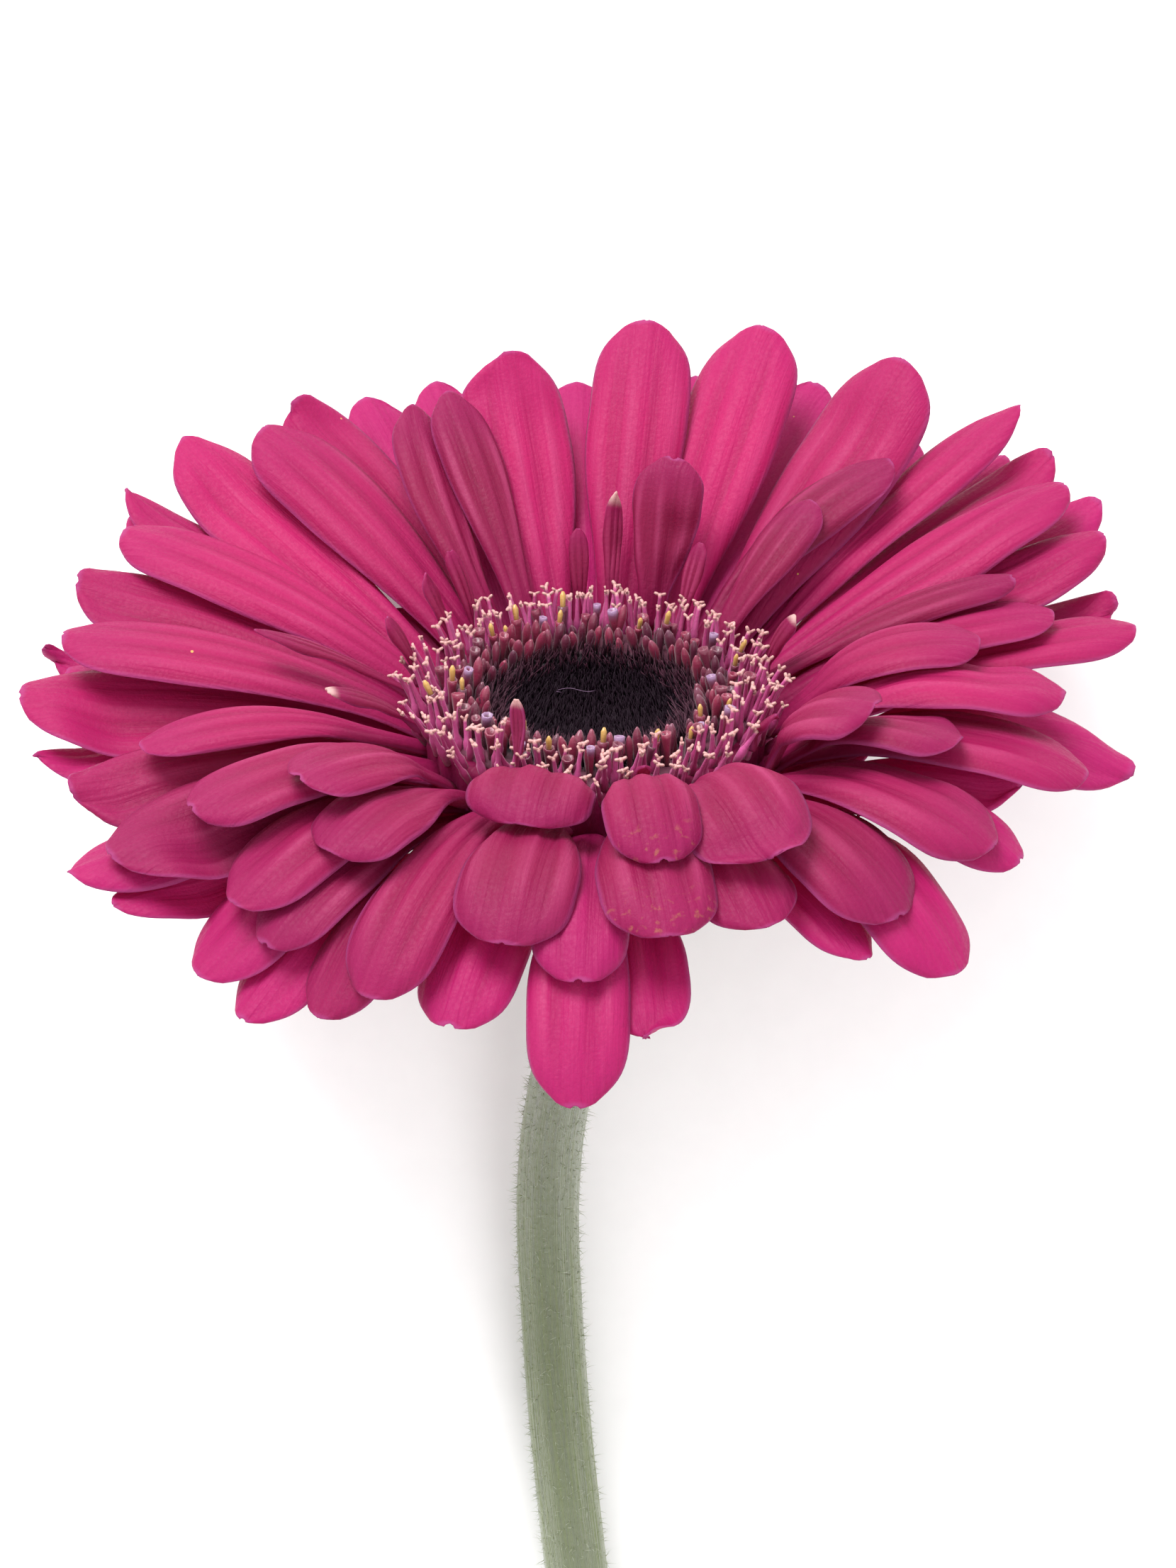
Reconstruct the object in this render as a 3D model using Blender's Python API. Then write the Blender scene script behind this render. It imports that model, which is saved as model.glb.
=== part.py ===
"""A cut gerbera lying on a table: a hairy stem, a green involucre, a flower head of ray florets
(the petals) in whorls, and a disc of small florets around a dark heart.

The head is laid out upright about its own axis, with z = 0 in the plane of the style tips, then
tipped over as one, so that its outer far petals and the stem rest on the table. Sizes in the
tables are millimetres and degrees. A petal is a thin blade along a curved mid-line. Petals are
placed from the innermost to the outermost, and each is pressed down until it clears those above."""

import math
from collections import namedtuple

import bmesh
import bpy
from mathutils import Matrix, Vector
from mathutils.bvhtree import BVHTree

MM = 0.001
MERGE_DISTANCE = 0.000004

# Driving dimensions of the head.
DISC_RADIUS = 17.2
HEART_RADIUS = 10.0
DISC_DEPTH = 7.5
NECK_DEPTH = 20.0
NECK_RADIUS = 4.4
PETAL_THICKNESS = 0.5
FIT_GAP = 0.3
PETAL_GAP = 0.5
PRESS_SAMPLES = 5
COLLAR_WIDTH = 1.2
COLLAR_SIDES = 34
BRACTS = 22

# How the cut flower lies: the disc's centre above the table, and the lean of the head's axis.
HEAD_HEIGHT = 33.0
HEAD_LEAN = 55.0

# The stem.
STEM_RADIUS = 3.25
STEM_LENGTH_ON_TABLE = 240.0
STEM_SIDES = 12

# Where each whorl's claws stand: radius and height.
WHORL_BASES = {
    "short": (17.5, -2.6),
    "inner": (17.2, -4.2),
    "main": (16.4, -6.2),
    "outer": (15.6, -8.4),
    "under": (14.6, -11.0),
}
BASE_WIDTH_SHARE = 0.38
WIDEST_AT = 0.7

# One petal: the tip's azimuth about the head's axis (0 is +X, counter-clockwise), its reach from
# the axis and its rise above the disc, the widest width, the bulge of the mid-line above its
# chord, the extra droop of the tip, the turn of azimuth from claw to tip, the roll of the tip,
# the cupping of the cross-section (positive has its edges down), and the tip's pointedness.
Ray = namedtuple(
    "Ray",
    "azimuth reach rise width bulge droop sway roll cup point",
    defaults=(2.0, 0.0, 0.0, 0.0, 0.2, 0.2),
)

# Small and narrow petals beside the disc, joined at their claws.
SHORT_RAYS = (
    Ray(247, 19.0, 3.2, 3.6, 0.5),
    Ray(284, 19.8, 1.2, 3.0, 0.3),
    Ray(330, 20.0, 1.5, 3.2, 0.5),
    Ray(17, 20.5, 3.6, 3.8, 0.6),
    Ray(18, 43.0, 4.0, 5.5, 1.5),
    Ray(45, 30.5, 8.0, 6.0, 1.0),
    Ray(42, 39.5, 10.0, 7.5, 1.5, sway=-9),
    Ray(60, 21.5, 5.0, 3.6, 0.5),
    Ray(71, 24.5, 12.0, 7.5, 1.5),
    Ray(84, 22.0, 9.0, 3.8, 0.8),
    Ray(94, 20.5, 5.6, 3.4, 0.5),
    Ray(112, 38.5, 13.0, 6.5, 1.2, point=0.5),
    Ray(117, 39.5, 12.0, 6.5, 1.2, sway=-6, point=0.5),
    Ray(131, 21.5, 5.5, 3.2, 0.6),
    Ray(141, 20.8, 4.6, 4.0, 0.5),
    Ray(166, 20.6, 4.0, 3.6, 0.5),
    Ray(176, 32.4, 4.0, 3.4, 0.8, point=0.8),
    Ray(197, 26.4, 3.0, 4.4, 0.8, point=0.6),
)

# Inner petals, on top.
INNER_RAYS = (
    Ray(255, 26.0, -1.2, 12.5, 5.5, -3.0),
    Ray(282, 31.0, -2.0, 9.5, 6.5, -3.0),
    Ray(299, 34.5, -1.0, 13.0, 7.0, -3.5),
    Ray(335, 29.0, 4.0, 10.5, 3.0, -1.0),
    Ray(4, 37.0, 3.0, 9.0, 3.0),
    Ray(217, 34.0, 1.0, 9.5, 2.5, -1.0),
    Ray(227, 35.5, -3.5, 11.0, 3.5, -1.0),
    Ray(192, 43.5, -2.0, 7.0, 2.5),
    Ray(207, 41.8, -3.0, 11.0, 3.0),
    Ray(13, 45.7, 2.0, 9.0, 3.0),
    Ray(357, 45.0, 0.5, 12.0, 4.8, 1.0),
    Ray(342, 36.5, 0.5, 10.5, 3.5, 0.5),
)

# The main petals.
MAIN_RAYS = (
    Ray(103, 39.5, 16.2, 12.0, 1.0),
    Ray(82.5, 41.8, 18.0, 10.4, 1.0),
    Ray(68, 45.4, 17.1, 11.2, 1.0),
    Ray(50, 47.9, 16.2, 13.0, 1.0),
    Ray(38, 53.7, 12.8, 7.5, 1.5, sway=-4, point=0.7),
    Ray(28, 52.6, 8.2, 9.0, 2.0),
    Ray(34, 55.0, 9.6, 9.0, 2.0),
    Ray(22, 54.0, 5.2, 9.0, 2.0),
    Ray(11, 53.4, 0.4, 9.5, 2.5),
    Ray(17, 53.7, 1.9, 9.5, 2.5),
    Ray(349, 47.5, -5.0, 11.0, 4.0, 1.0),
    Ray(331, 42.5, -6.0, 12.0, 4.0, 1.0),
    Ray(314, 40.5, -8.5, 12.0, 4.0, 1.0),
    Ray(281, 36.5, -6.5, 11.5, 4.5, -1.0),
    Ray(257, 36.5, -7.5, 11.5, 4.5, -1.0),
    Ray(296, 36.5, -7.2, 10.5, 4.5, -1.0),
    Ray(219, 42.5, -8.5, 10.5, 4.0),
    Ray(241, 42.0, -12.4, 9.5, 4.5),
    Ray(225, 42.5, -11.0, 9.5, 4.0),
    Ray(235, 43.8, -15.0, 9.0, 4.5),
    Ray(205, 49.5, -6.5, 13.0, 4.0, 1.0),
    Ray(193, 50.5, -5.0, 11.0, 3.5),
    Ray(174, 51.0, 2.0, 11.0, 2.5),
    Ray(179, 54.8, -1.8, 13.0, 3.0),
    Ray(155, 50.6, 5.0, 10.5, 2.5),
    Ray(163, 52.6, 3.4, 11.0, 2.5),
    Ray(134, 47.0, 10.0, 11.0, 1.5, sway=4),
    Ray(140, 53.5, 8.7, 10.5, 2.0, sway=-4, point=0.5),
    Ray(148, 54.4, 7.7, 9.0, 2.5),
    Ray(128, 48.5, 11.8, 11.5, 1.5, sway=4),
)

# The outer petals.
OUTER_RAYS = (
    Ray(92, 46.2, 8.9, 10.0, 2.0),
    Ray(77, 47.9, 9.5, 9.5, 2.0),
    Ray(64, 51.5, 8.9, 10.0, 2.0),
    Ray(268, 38.0, -10.0, 9.5, 4.0),
    Ray(358, 52.8, -8.0, 13.0, 8.6, 3.6),
    Ray(335, 44.0, -8.8, 10.0, 4.0, 1.0),
    Ray(317, 45.5, -13.3, 11.5, 4.5, 1.0, sway=-5),
    Ray(268, 45.0, -19.0, 9.8, 4.5, point=0.4),
    Ray(218.5, 46.5, -14.8, 11.0, 4.5),
    Ray(225.7, 46.5, -16.8, 9.6, 4.5),
    Ray(201.5, 53.0, -8.4, 13.0, 4.0, 1.0),
    Ray(184, 53.7, -4.0, 9.0, 3.0),
)

# The lowest petals, seen only in part, joined at their claws.
UNDER_RAYS = (
    Ray(109, 48.8, 8.9, 9.0, 2.0),
    Ray(117, 50.7, 7.7, 9.0, 2.0),
    Ray(53, 53.6, 4.2, 10.0, 2.0),
    Ray(41, 54.5, 6.0, 9.0),
    Ray(28, 56.7, 6.0, 9.0),
    Ray(18, 51.5, 0.2, 9.0),
    Ray(346, 42.0, -4.0, 8.0, 3.0),
    Ray(309, 40.0, -12.0, 7.0, 3.0, point=0.7),
    Ray(277, 41.0, -13.3, 10.5, 3.5),
    Ray(251, 40.0, -15.0, 9.8, 3.5),
    Ray(207, 50.0, -10.5, 8.0, 2.5),
    Ray(171, 51.5, -3.5, 9.0),
    Ray(168, 54.2, 0.6, 9.0),
    Ray(148, 54.0, 3.0, 9.0),
)


def smoothstep(t):
    t = min(max(t, 0.0), 1.0)
    return t * t * (3.0 - 2.0 * t)


def width_share(ray, s):
    """The blade's width at s of its length, as a share of its widest: narrow claw, rounded tip."""
    if s <= WIDEST_AT:
        return BASE_WIDTH_SHARE + (1.0 - BASE_WIDTH_SHARE) * smoothstep(s / WIDEST_AT)
    tail = (s - WIDEST_AT) / (1.0 - WIDEST_AT)
    return max((1.0 - tail**3.0) ** (0.38 + 0.6 * ray.point), 0.26 - 0.14 * ray.point)


def mid_line(ray, base, s):
    """The point at s of the way along a petal's mid-line, a cubic arc from its claw to its tip."""
    start = Vector(base)
    tip = Vector((ray.reach, ray.rise))
    chord = tip - start
    above = Vector((-chord.y, chord.x)).normalized()
    first = start + chord / 3.0 + above * (ray.bulge * 4.0 / 3.0)
    second = start + chord * (2.0 / 3.0) + above * (ray.bulge * 4.0 / 3.0 + ray.droop)
    rest = 1.0 - s
    flat = (
        start * rest**3
        + first * (3.0 * rest * rest * s)
        + second * (3.0 * rest * s * s)
        + tip * s**3
    )
    azimuth = math.radians(ray.azimuth - ray.sway * (1.0 - s**1.5))
    return Vector((flat.x * math.cos(azimuth), flat.x * math.sin(azimuth), flat.y))


def blade(ray, base, stations, across):
    """The petal's middle surface, as rows of points from the claw to the tip."""
    rows = []
    for station in range(stations):
        s = station / (stations - 1)
        s = 1.0 - (1.0 - s) ** 1.25
        point = mid_line(ray, base, s)
        ahead = mid_line(ray, base, min(s + 0.02, 1.0))
        behind = mid_line(ray, base, max(s - 0.02, 0.0))
        along = (ahead - behind).normalized()
        radial = Vector((point.x, point.y, 0.0)).normalized()
        side = Vector((-radial.y, radial.x, 0.0))
        side = (side - along * side.dot(along)).normalized()
        side = Matrix.Rotation(math.radians(ray.roll * s), 3, along) @ side
        up = along.cross(side)
        half = ray.width * width_share(ray, s) / 2.0
        row = []
        for column in range(across):
            u = 2.0 * column / (across - 1) - 1.0
            row.append(point + side * (half * u) - up * (ray.cup * half * u * u))
        rows.append(row)
    return rows


def normals_of(rows):
    """The upward normal at each point of a blade."""
    last_row = len(rows) - 1
    last_column = len(rows[0]) - 1
    normals = []
    for i, row in enumerate(rows):
        line = []
        for j in range(len(row)):
            along = rows[min(i + 1, last_row)][j] - rows[max(i - 1, 0)][j]
            side = row[min(j + 1, last_column)] - row[max(j - 1, 0)]
            line.append(along.cross(side).normalized())
        normals.append(line)
    return normals


def eased(drops):
    """Drops spread to their neighbours, so that a pressed blade stays smooth."""
    last_row = len(drops) - 1
    last_column = len(drops[0]) - 1
    smooth = [list(line) for line in drops]
    for _ in range(6):
        spread = []
        for i, line in enumerate(smooth):
            fresh = []
            for j in range(len(line)):
                around = (
                    smooth[max(i - 1, 0)][j]
                    + smooth[min(i + 1, last_row)][j]
                    + line[max(j - 1, 0)]
                    + line[min(j + 1, last_column)]
                )
                fresh.append(max(drops[i][j], 0.92 * around / 4.0))
            spread.append(fresh)
        smooth = spread
    return smooth


def clearance_lack(point, normal, above, reach):
    """How far a point of a blade must go down along its normal to clear the solids above it."""
    clear = PETAL_THICKNESS / 2.0 + PETAL_GAP
    hit = above.ray_cast(point - normal * reach, normal, reach + clear)
    return 0.0 if hit[3] is None else reach + clear - hit[3]


def drops_needed(rows, normals, above, reach):
    """The drop at each point of a blade, from the points themselves and from those between them."""
    drops = [[0.0] * len(rows[0]) for _ in rows]
    for i in range(len(rows) - 1):
        for j in range(len(rows[0]) - 1):
            corners = ((i, j), (i + 1, j), (i, j + 1), (i + 1, j + 1))
            lack = 0.0
            for down in range(PRESS_SAMPLES + 1):
                for over in range(PRESS_SAMPLES + 1):
                    p = down / PRESS_SAMPLES
                    q = over / PRESS_SAMPLES
                    shares = ((1 - p) * (1 - q), p * (1 - q), (1 - p) * q, p * q)
                    point = Vector()
                    normal = Vector()
                    for (a, b), share in zip(corners, shares):
                        point += rows[a][b] * share
                        normal += normals[a][b] * share
                    lack = max(lack, clearance_lack(point, normal.normalized(), above, reach))
            for a, b in corners:
                drops[a][b] = max(drops[a][b], lack)
    return drops


def pressed(rows, above, reach=6.0, passes=4):
    """The blade lowered along its normals until it clears the solids above it."""
    normals = normals_of(rows)
    for _ in range(passes):
        drops = drops_needed(rows, normals, above, reach)
        if max(max(line) for line in drops) < 0.02:
            break
        drops = eased(drops)
        rows = [
            [point - normal * drop for point, normal, drop in zip(row, line, found)]
            for row, line, found in zip(rows, normals, drops)
        ]
    return rows


def blade_solid(rows):
    """Vertices and faces of a blade with its thickness, as one closed skin."""
    across = len(rows[0])
    count = len(rows) * across
    normals = normals_of(rows)
    top = [p + n * (PETAL_THICKNESS / 2.0) for row, line in zip(rows, normals) for p, n in zip(row, line)]
    low = [p - n * (PETAL_THICKNESS / 2.0) for row, line in zip(rows, normals) for p, n in zip(row, line)]
    faces = []
    for i in range(len(rows) - 1):
        for j in range(across - 1):
            a = i * across + j
            faces.append((a, a + across, a + across + 1, a + 1))
            faces.append((count + a, count + a + 1, count + a + across + 1, count + a + across))
    rim = [j for j in range(across)]
    rim += [i * across + across - 1 for i in range(1, len(rows))]
    rim += [(len(rows) - 1) * across + j for j in range(across - 2, -1, -1)]
    rim += [i * across for i in range(len(rows) - 2, 0, -1)]
    for k, a in enumerate(rim):
        b = rim[(k + 1) % len(rim)]
        faces.append((a, b, count + b, count + a))
    return top + low, faces


class Canopy:
    """The solids placed so far, which a new petal must lie under."""

    def __init__(self):
        self.points = []
        self.faces = []

    def add(self, points, faces):
        first = len(self.points)
        self.points.extend(points)
        self.faces.extend(tuple(first + index for index in face) for face in faces)

    def tree(self):
        return BVHTree.FromPolygons(self.points, self.faces)


def turned(profile, sides):
    """A profile of (radius, height) turned about the axis; a radius of zero closes it to a point."""
    points = []
    rings = []
    for radius, height in profile:
        if radius == 0.0:
            rings.append([len(points)] * sides)
            points.append(Vector((0.0, 0.0, height)))
            continue
        rings.append(list(range(len(points), len(points) + sides)))
        for k in range(sides):
            angle = math.tau * k / sides
            points.append(Vector((radius * math.cos(angle), radius * math.sin(angle), height)))
    faces = []
    closed = profile[0][0] > 0.0
    pairs = list(zip(rings, rings[1:])) + ([(rings[-1], rings[0])] if closed else [])
    for lower, upper in pairs:
        for k in range(sides):
            n = (k + 1) % sides
            face = [lower[k], lower[n], upper[n], upper[k]]
            faces.append(tuple(dict.fromkeys(face)))
    return points, faces


def material(name, colour, roughness=0.6):
    made = bpy.data.materials.new(name)
    made.use_nodes = True
    shader = made.node_tree.nodes["Principled BSDF"]
    shader.inputs["Base Color"].default_value = (*colour, 1.0)
    shader.inputs["Roughness"].default_value = roughness
    return made


def mesh_object(name, points, faces, surface, parent=None):
    mesh = bpy.data.meshes.new(name)
    mesh.from_pydata([Vector(p) * MM for p in points], [], faces)
    mesh.materials.append(surface)
    mesh.shade_smooth()
    built = bpy.data.objects.new(name, mesh)
    bpy.context.scene.collection.objects.link(built)
    built.parent = parent
    return built


def facing_out(built):
    """Recalculates an object's normals outwards."""
    work = bmesh.new()
    work.from_mesh(built.data)
    bmesh.ops.recalc_face_normals(work, faces=work.faces)
    work.to_mesh(built.data)
    work.free()
    return built


def cleaned(mesh):
    """Merges the points that a union leaves almost on top of each other."""
    work = bmesh.new()
    work.from_mesh(mesh)
    bmesh.ops.triangulate(work, faces=work.faces)
    bmesh.ops.remove_doubles(work, verts=work.verts, dist=MERGE_DISTANCE)
    bmesh.ops.dissolve_degenerate(work, edges=work.edges, dist=MERGE_DISTANCE)
    work.to_mesh(mesh)
    work.free()


def joined(name, body, pieces):
    """The body with every piece joined to it by a Boolean union, as one mesh."""
    group = bpy.data.collections.new(name + "_pieces")
    for piece in pieces:
        bpy.context.scene.collection.objects.unlink(piece)
        group.objects.link(piece)
    union = body.modifiers.new("union", "BOOLEAN")
    union.operation = "UNION"
    union.operand_type = "COLLECTION"
    union.collection = group
    graph = bpy.context.evaluated_depsgraph_get()
    result = bpy.data.meshes.new_from_object(body.evaluated_get(graph))
    body.modifiers.clear()
    cleaned(result)
    body.data = result
    body.name = name
    for piece in pieces:
        bpy.data.objects.remove(piece)
    bpy.data.collections.remove(group)
    return body


def clear_scene():
    for old in list(bpy.data.objects):
        bpy.data.objects.remove(old)


def disc_heart(head):
    profile = (
        (0.0, -DISC_DEPTH),
        (HEART_RADIUS - 1.2, -DISC_DEPTH),
        (HEART_RADIUS, -5.0),
        (HEART_RADIUS - 0.2, -3.4),
        (HEART_RADIUS * 0.7, -1.9),
        (HEART_RADIUS * 0.35, -1.4),
        (0.0, -1.3),
    )
    surface = material("heart_dark", (0.028, 0.010, 0.020), 0.85)
    points, faces = turned(profile, 20)
    return facing_out(mesh_object("disc_heart", points, faces, surface, head))


def disc_florets(head, canopy):
    inner = HEART_RADIUS + FIT_GAP
    profile = (
        (inner, -DISC_DEPTH),
        (13.6, -DISC_DEPTH),
        (14.8, -5.0),
        (15.8, -2.6),
        (DISC_RADIUS, -0.2),
        (DISC_RADIUS - 0.4, 0.9),
        (DISC_RADIUS - 1.8, 1.2),
        (13.2, 0.2),
        (inner + 0.6, -1.8),
        (inner, -3.2),
    )
    surface = material("floret_pink", (0.33, 0.045, 0.10), 0.6)
    points, faces = turned(profile, 36)
    canopy.add(points, faces)
    return facing_out(mesh_object("disc_florets", points, faces, surface, head))


def ray_floret(name, ray, base, surface, head, canopy, stations=8, across=4):
    rows = pressed(blade(ray, base, stations, across), canopy.tree())
    points, faces = blade_solid(rows)
    canopy.add(points, faces)
    return facing_out(mesh_object(name, points, faces, surface, head))


def ray_whorl(prefix, rays, whorl, surface, head, canopy):
    return [
        ray_floret(f"{prefix}_{number:02d}", ray, WHORL_BASES[whorl], surface, head, canopy)
        for number, ray in enumerate(rays, 1)
    ]


def collar(radius, top, bottom, surface, head, canopy):
    """The ring in which the claws of a whorl meet."""
    inner = radius - COLLAR_WIDTH * 0.3
    outer = radius + COLLAR_WIDTH * 0.7
    profile = ((inner, bottom), (outer, bottom), (outer, top), (inner, top))
    points, faces = turned(profile, COLLAR_SIDES)
    canopy.add(points, faces)
    return facing_out(mesh_object("collar", points, faces, surface, head))


def joined_whorl(name, rays, whorl, surface, head, canopy, stations, depth):
    """A whorl of petals whose claws are joined by a collar of this depth, as one body."""
    radius, height = WHORL_BASES[whorl]
    petals = [
        ray_floret("claw", ray, (radius, height), surface, head, canopy, stations) for ray in rays
    ]
    ring = collar(radius, height + 0.5, height - depth, surface, head, canopy)
    return joined(name, ring, petals)


def involucre(head, canopy):
    """The green cup under the head, with its bracts spread under the petals."""
    surface = material("bract_green", (0.10, 0.17, 0.05), 0.7)
    cup_profile = (
        (0.0, -DISC_DEPTH - FIT_GAP),
        (12.6, -DISC_DEPTH - FIT_GAP),
        (13.2, -9.0),
        (13.3, -11.2),
        (13.8, -13.4),
        (12.6, -15.4),
        (9.6, -17.4),
        (6.2, -19.0),
        (NECK_RADIUS, -NECK_DEPTH),
        (0.0, -NECK_DEPTH),
    )
    points, faces = turned(cup_profile, 32)
    cup = facing_out(mesh_object("cup", points, faces, surface, head))
    bracts = []
    for number in range(BRACTS):
        long_one = number % 2
        bract = Ray(
            azimuth=360.0 * number / BRACTS + 5.0,
            reach=21.0 if long_one else 18.5,
            rise=-13.4 if long_one else -14.6,
            width=3.4,
            bulge=0.6,
            point=0.9,
        )
        base = (12.8, -13.6)
        bracts.append(ray_floret("bract", bract, base, surface, head, canopy, 6, 3))
    return joined("involucre", cup, bracts)


def stem_route():
    """The stem's mid-line in the table's frame: out of the neck, down to the table, to the cut end."""
    lean = math.radians(HEAD_LEAN)
    axis = Vector((0.0, math.sin(lean), math.cos(lean)))
    neck = Vector((0.0, 0.0, HEAD_HEIGHT)) - axis * (NECK_DEPTH + FIT_GAP)
    fall = neck.z - STEM_RADIUS
    slope = math.radians(90.0 - HEAD_LEAN)
    bend_radius = fall / (1.0 - math.cos(slope))
    run = bend_radius * math.sin(slope)
    route = []
    for k in range(9):
        angle = slope * (1.0 - k / 8.0)
        y = neck.y - run + bend_radius * math.sin(angle)
        z = STEM_RADIUS + bend_radius * (1.0 - math.cos(angle))
        route.append(Vector((0.0, y, z)))
    landing = route[-1].y
    for k in range(1, 21):
        route.append(Vector((0.0, landing - STEM_LENGTH_ON_TABLE * k / 20.0, STEM_RADIUS)))
    return [Vector((stem_sway(neck.y - p.y), p.y, p.z)) for p in route]


def stem_sway(distance):
    """How far the stem strays sideways at this distance from the neck: left of the axis, then right."""
    near = -4.6 * smoothstep(distance / 34.0)
    far = 13.0 * smoothstep((distance - 30.0) / 130.0)
    return near + far


def stem():
    """The stem as a tube with rounded shoulders at its cut end, flaring a little into the neck."""
    route = stem_route()
    points = []
    for k, centre in enumerate(route):
        ahead = route[min(k + 1, len(route) - 1)]
        behind = route[max(k - 1, 0)]
        along = (ahead - behind).normalized()
        side = Vector((0.0, 0.0, 1.0)).cross(along).normalized()
        up = along.cross(side)
        radius = STEM_RADIUS + (NECK_RADIUS - STEM_RADIUS) * (1.0 - smoothstep(k / 4.0))
        for j in range(STEM_SIDES):
            angle = math.tau * j / STEM_SIDES
            offset = side * math.cos(angle) + up * math.sin(angle)
            points.append(centre + offset * radius)
    faces = [tuple(range(STEM_SIDES - 1, -1, -1))]
    for k in range(len(route) - 1):
        for j in range(STEM_SIDES):
            a = k * STEM_SIDES + j
            b = k * STEM_SIDES + (j + 1) % STEM_SIDES
            faces.append((a, b, b + STEM_SIDES, a + STEM_SIDES))
    last = (len(route) - 1) * STEM_SIDES
    faces.append(tuple(range(last, last + STEM_SIDES)))
    surface = material("stem_green", (0.22, 0.30, 0.12), 0.75)
    return facing_out(mesh_object("stem", points, faces, surface))


def centred_on_table(parents):
    """Moves everything so that the box's bottom centre is the origin."""
    bpy.context.view_layer.update()
    corners = [
        built.matrix_world @ vertex.co
        for built in bpy.data.objects
        if built.type == "MESH"
        for vertex in built.data.vertices
    ]
    low = Vector([min(corner[axis] for corner in corners) for axis in range(3)])
    high = Vector([max(corner[axis] for corner in corners) for axis in range(3)])
    shift = Vector(((low.x + high.x) / 2.0, (low.y + high.y) / 2.0, low.z))
    for parent in parents:
        parent.location -= shift


def main():
    clear_scene()
    head = bpy.data.objects.new("head", None)
    bpy.context.scene.collection.objects.link(head)
    canopy = Canopy()
    ray = material("ray_magenta", (0.62, 0.035, 0.15), 0.5)
    outer = material("ray_rose", (0.75, 0.06, 0.22), 0.5)
    disc_heart(head)
    disc_florets(head, canopy)
    joined_whorl("short_rays", SHORT_RAYS, "short", ray, head, canopy, 7, 1.6)
    ray_whorl("inner_ray", INNER_RAYS, "inner", ray, head, canopy)
    ray_whorl("main_ray", MAIN_RAYS, "main", ray, head, canopy)
    ray_whorl("outer_ray", OUTER_RAYS, "outer", outer, head, canopy)
    joined_whorl("under_rays", UNDER_RAYS, "under", outer, head, canopy, 8, 2.3)
    involucre(head, canopy)
    head.rotation_euler = (math.radians(-HEAD_LEAN), 0.0, 0.0)
    head.location = Vector((0.0, 0.0, HEAD_HEIGHT)) * MM
    stalk = stem()
    centred_on_table((head, stalk))


if __name__ == "__main__":
    main()
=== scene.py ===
"""A cut gerbera lying on a pale table, as a Blender add-on that builds the visible model round the
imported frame: ray florets (the petals) in whorls, the disc of small florets round a dark heart, the
green involucre and the hairy stem.

The head is worked out in its own frame, in millimetres: z is the head's axis and z = 0 the plane of
the style tips. HEAD carries it to its place in the CAD frame, leaning on the table."""

import math
import random
from collections import namedtuple

import bmesh
import bpy
import numpy as np
from mathutils import Matrix, Vector
from mathutils.bvhtree import BVHTree


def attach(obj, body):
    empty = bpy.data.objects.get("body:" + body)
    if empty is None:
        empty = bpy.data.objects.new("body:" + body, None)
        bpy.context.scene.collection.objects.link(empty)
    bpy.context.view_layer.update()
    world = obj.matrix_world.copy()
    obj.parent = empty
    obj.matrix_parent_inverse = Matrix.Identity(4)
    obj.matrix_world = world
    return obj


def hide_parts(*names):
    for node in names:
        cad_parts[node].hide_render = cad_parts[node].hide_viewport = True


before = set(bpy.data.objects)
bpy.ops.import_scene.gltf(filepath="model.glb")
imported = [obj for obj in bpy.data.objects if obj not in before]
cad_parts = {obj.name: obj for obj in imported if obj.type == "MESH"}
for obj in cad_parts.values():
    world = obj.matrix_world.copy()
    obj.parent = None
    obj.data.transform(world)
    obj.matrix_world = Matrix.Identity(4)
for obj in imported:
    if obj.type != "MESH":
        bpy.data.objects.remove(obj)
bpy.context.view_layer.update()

bl_info = {
    "name": "Cut gerbera",
    "version": (1, 0, 0),
    "blender": (4, 5, 0),
    "location": "3D View > Sidebar > Gerbera",
    "description": "Builds a cut gerbera lying on a table, around its packed frame",
    "category": "Add Mesh",
}

MM = 0.001

# The CAD part's own dimensions of the head, in millimetres and degrees.
DISC_RADIUS = 17.2
HEART_RADIUS = 10.0
DISC_DEPTH = 7.5
NECK_DEPTH = 20.0
NECK_RADIUS = 4.4
PETAL_THICKNESS = 0.5
FIT_GAP = 0.3
PETAL_GAP = 0.5
PETAL_CUP = 0.2
PRESS_SAMPLES = 5
COLLAR_WIDTH = 1.2
COLLAR_SIDES = 34
HEAD_HEIGHT = 33.0
HEAD_LEAN = 55.0
STEM_RADIUS = 3.25
STEM_LENGTH_ON_TABLE = 240.0
DISC_TOP = 1.2

# One whorl of petals: where its claws start, as a radius and a height, how many stations along
# each blade it is pressed at, the seed of its random draws and its colour slot.
Whorl = namedtuple("Whorl", "radius height stations seed slot")
WHORLS = {
    "short": Whorl(17.5, -2.6, 7, 3, "ray_petal"),
    "inner": Whorl(17.2, -4.2, 8, 5, "ray_petal"),
    "main": Whorl(16.4, -6.2, 8, 7, "ray_petal"),
    "outer": Whorl(15.6, -8.4, 8, 9, "outer_petal"),
    "under": Whorl(14.6, -11.0, 8, 11, "outer_petal"),
    "claw": Whorl(15.2, -9.4, 7, 13, "outer_petal"),
}
BASE_WIDTH_SHARE = 0.38
WIDEST_AT = 0.7
ACROSS = 4

# Small petals narrower than this, in millimetres, are built slimmer than their CAD blades.
SLIM_BELOW = 5.0
SLIM_SHARE = 0.58
SLIM_POINT = 0.8

# The least height of a petal's middle above the table, in millimetres.
TABLE_CLEARANCE = 0.28

# How much more of the brighter colour the petals behind the disc have than those in front: painted light
# behind, painted shade in front.
PAINTED_LIGHT_BEHIND = 0.35

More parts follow.
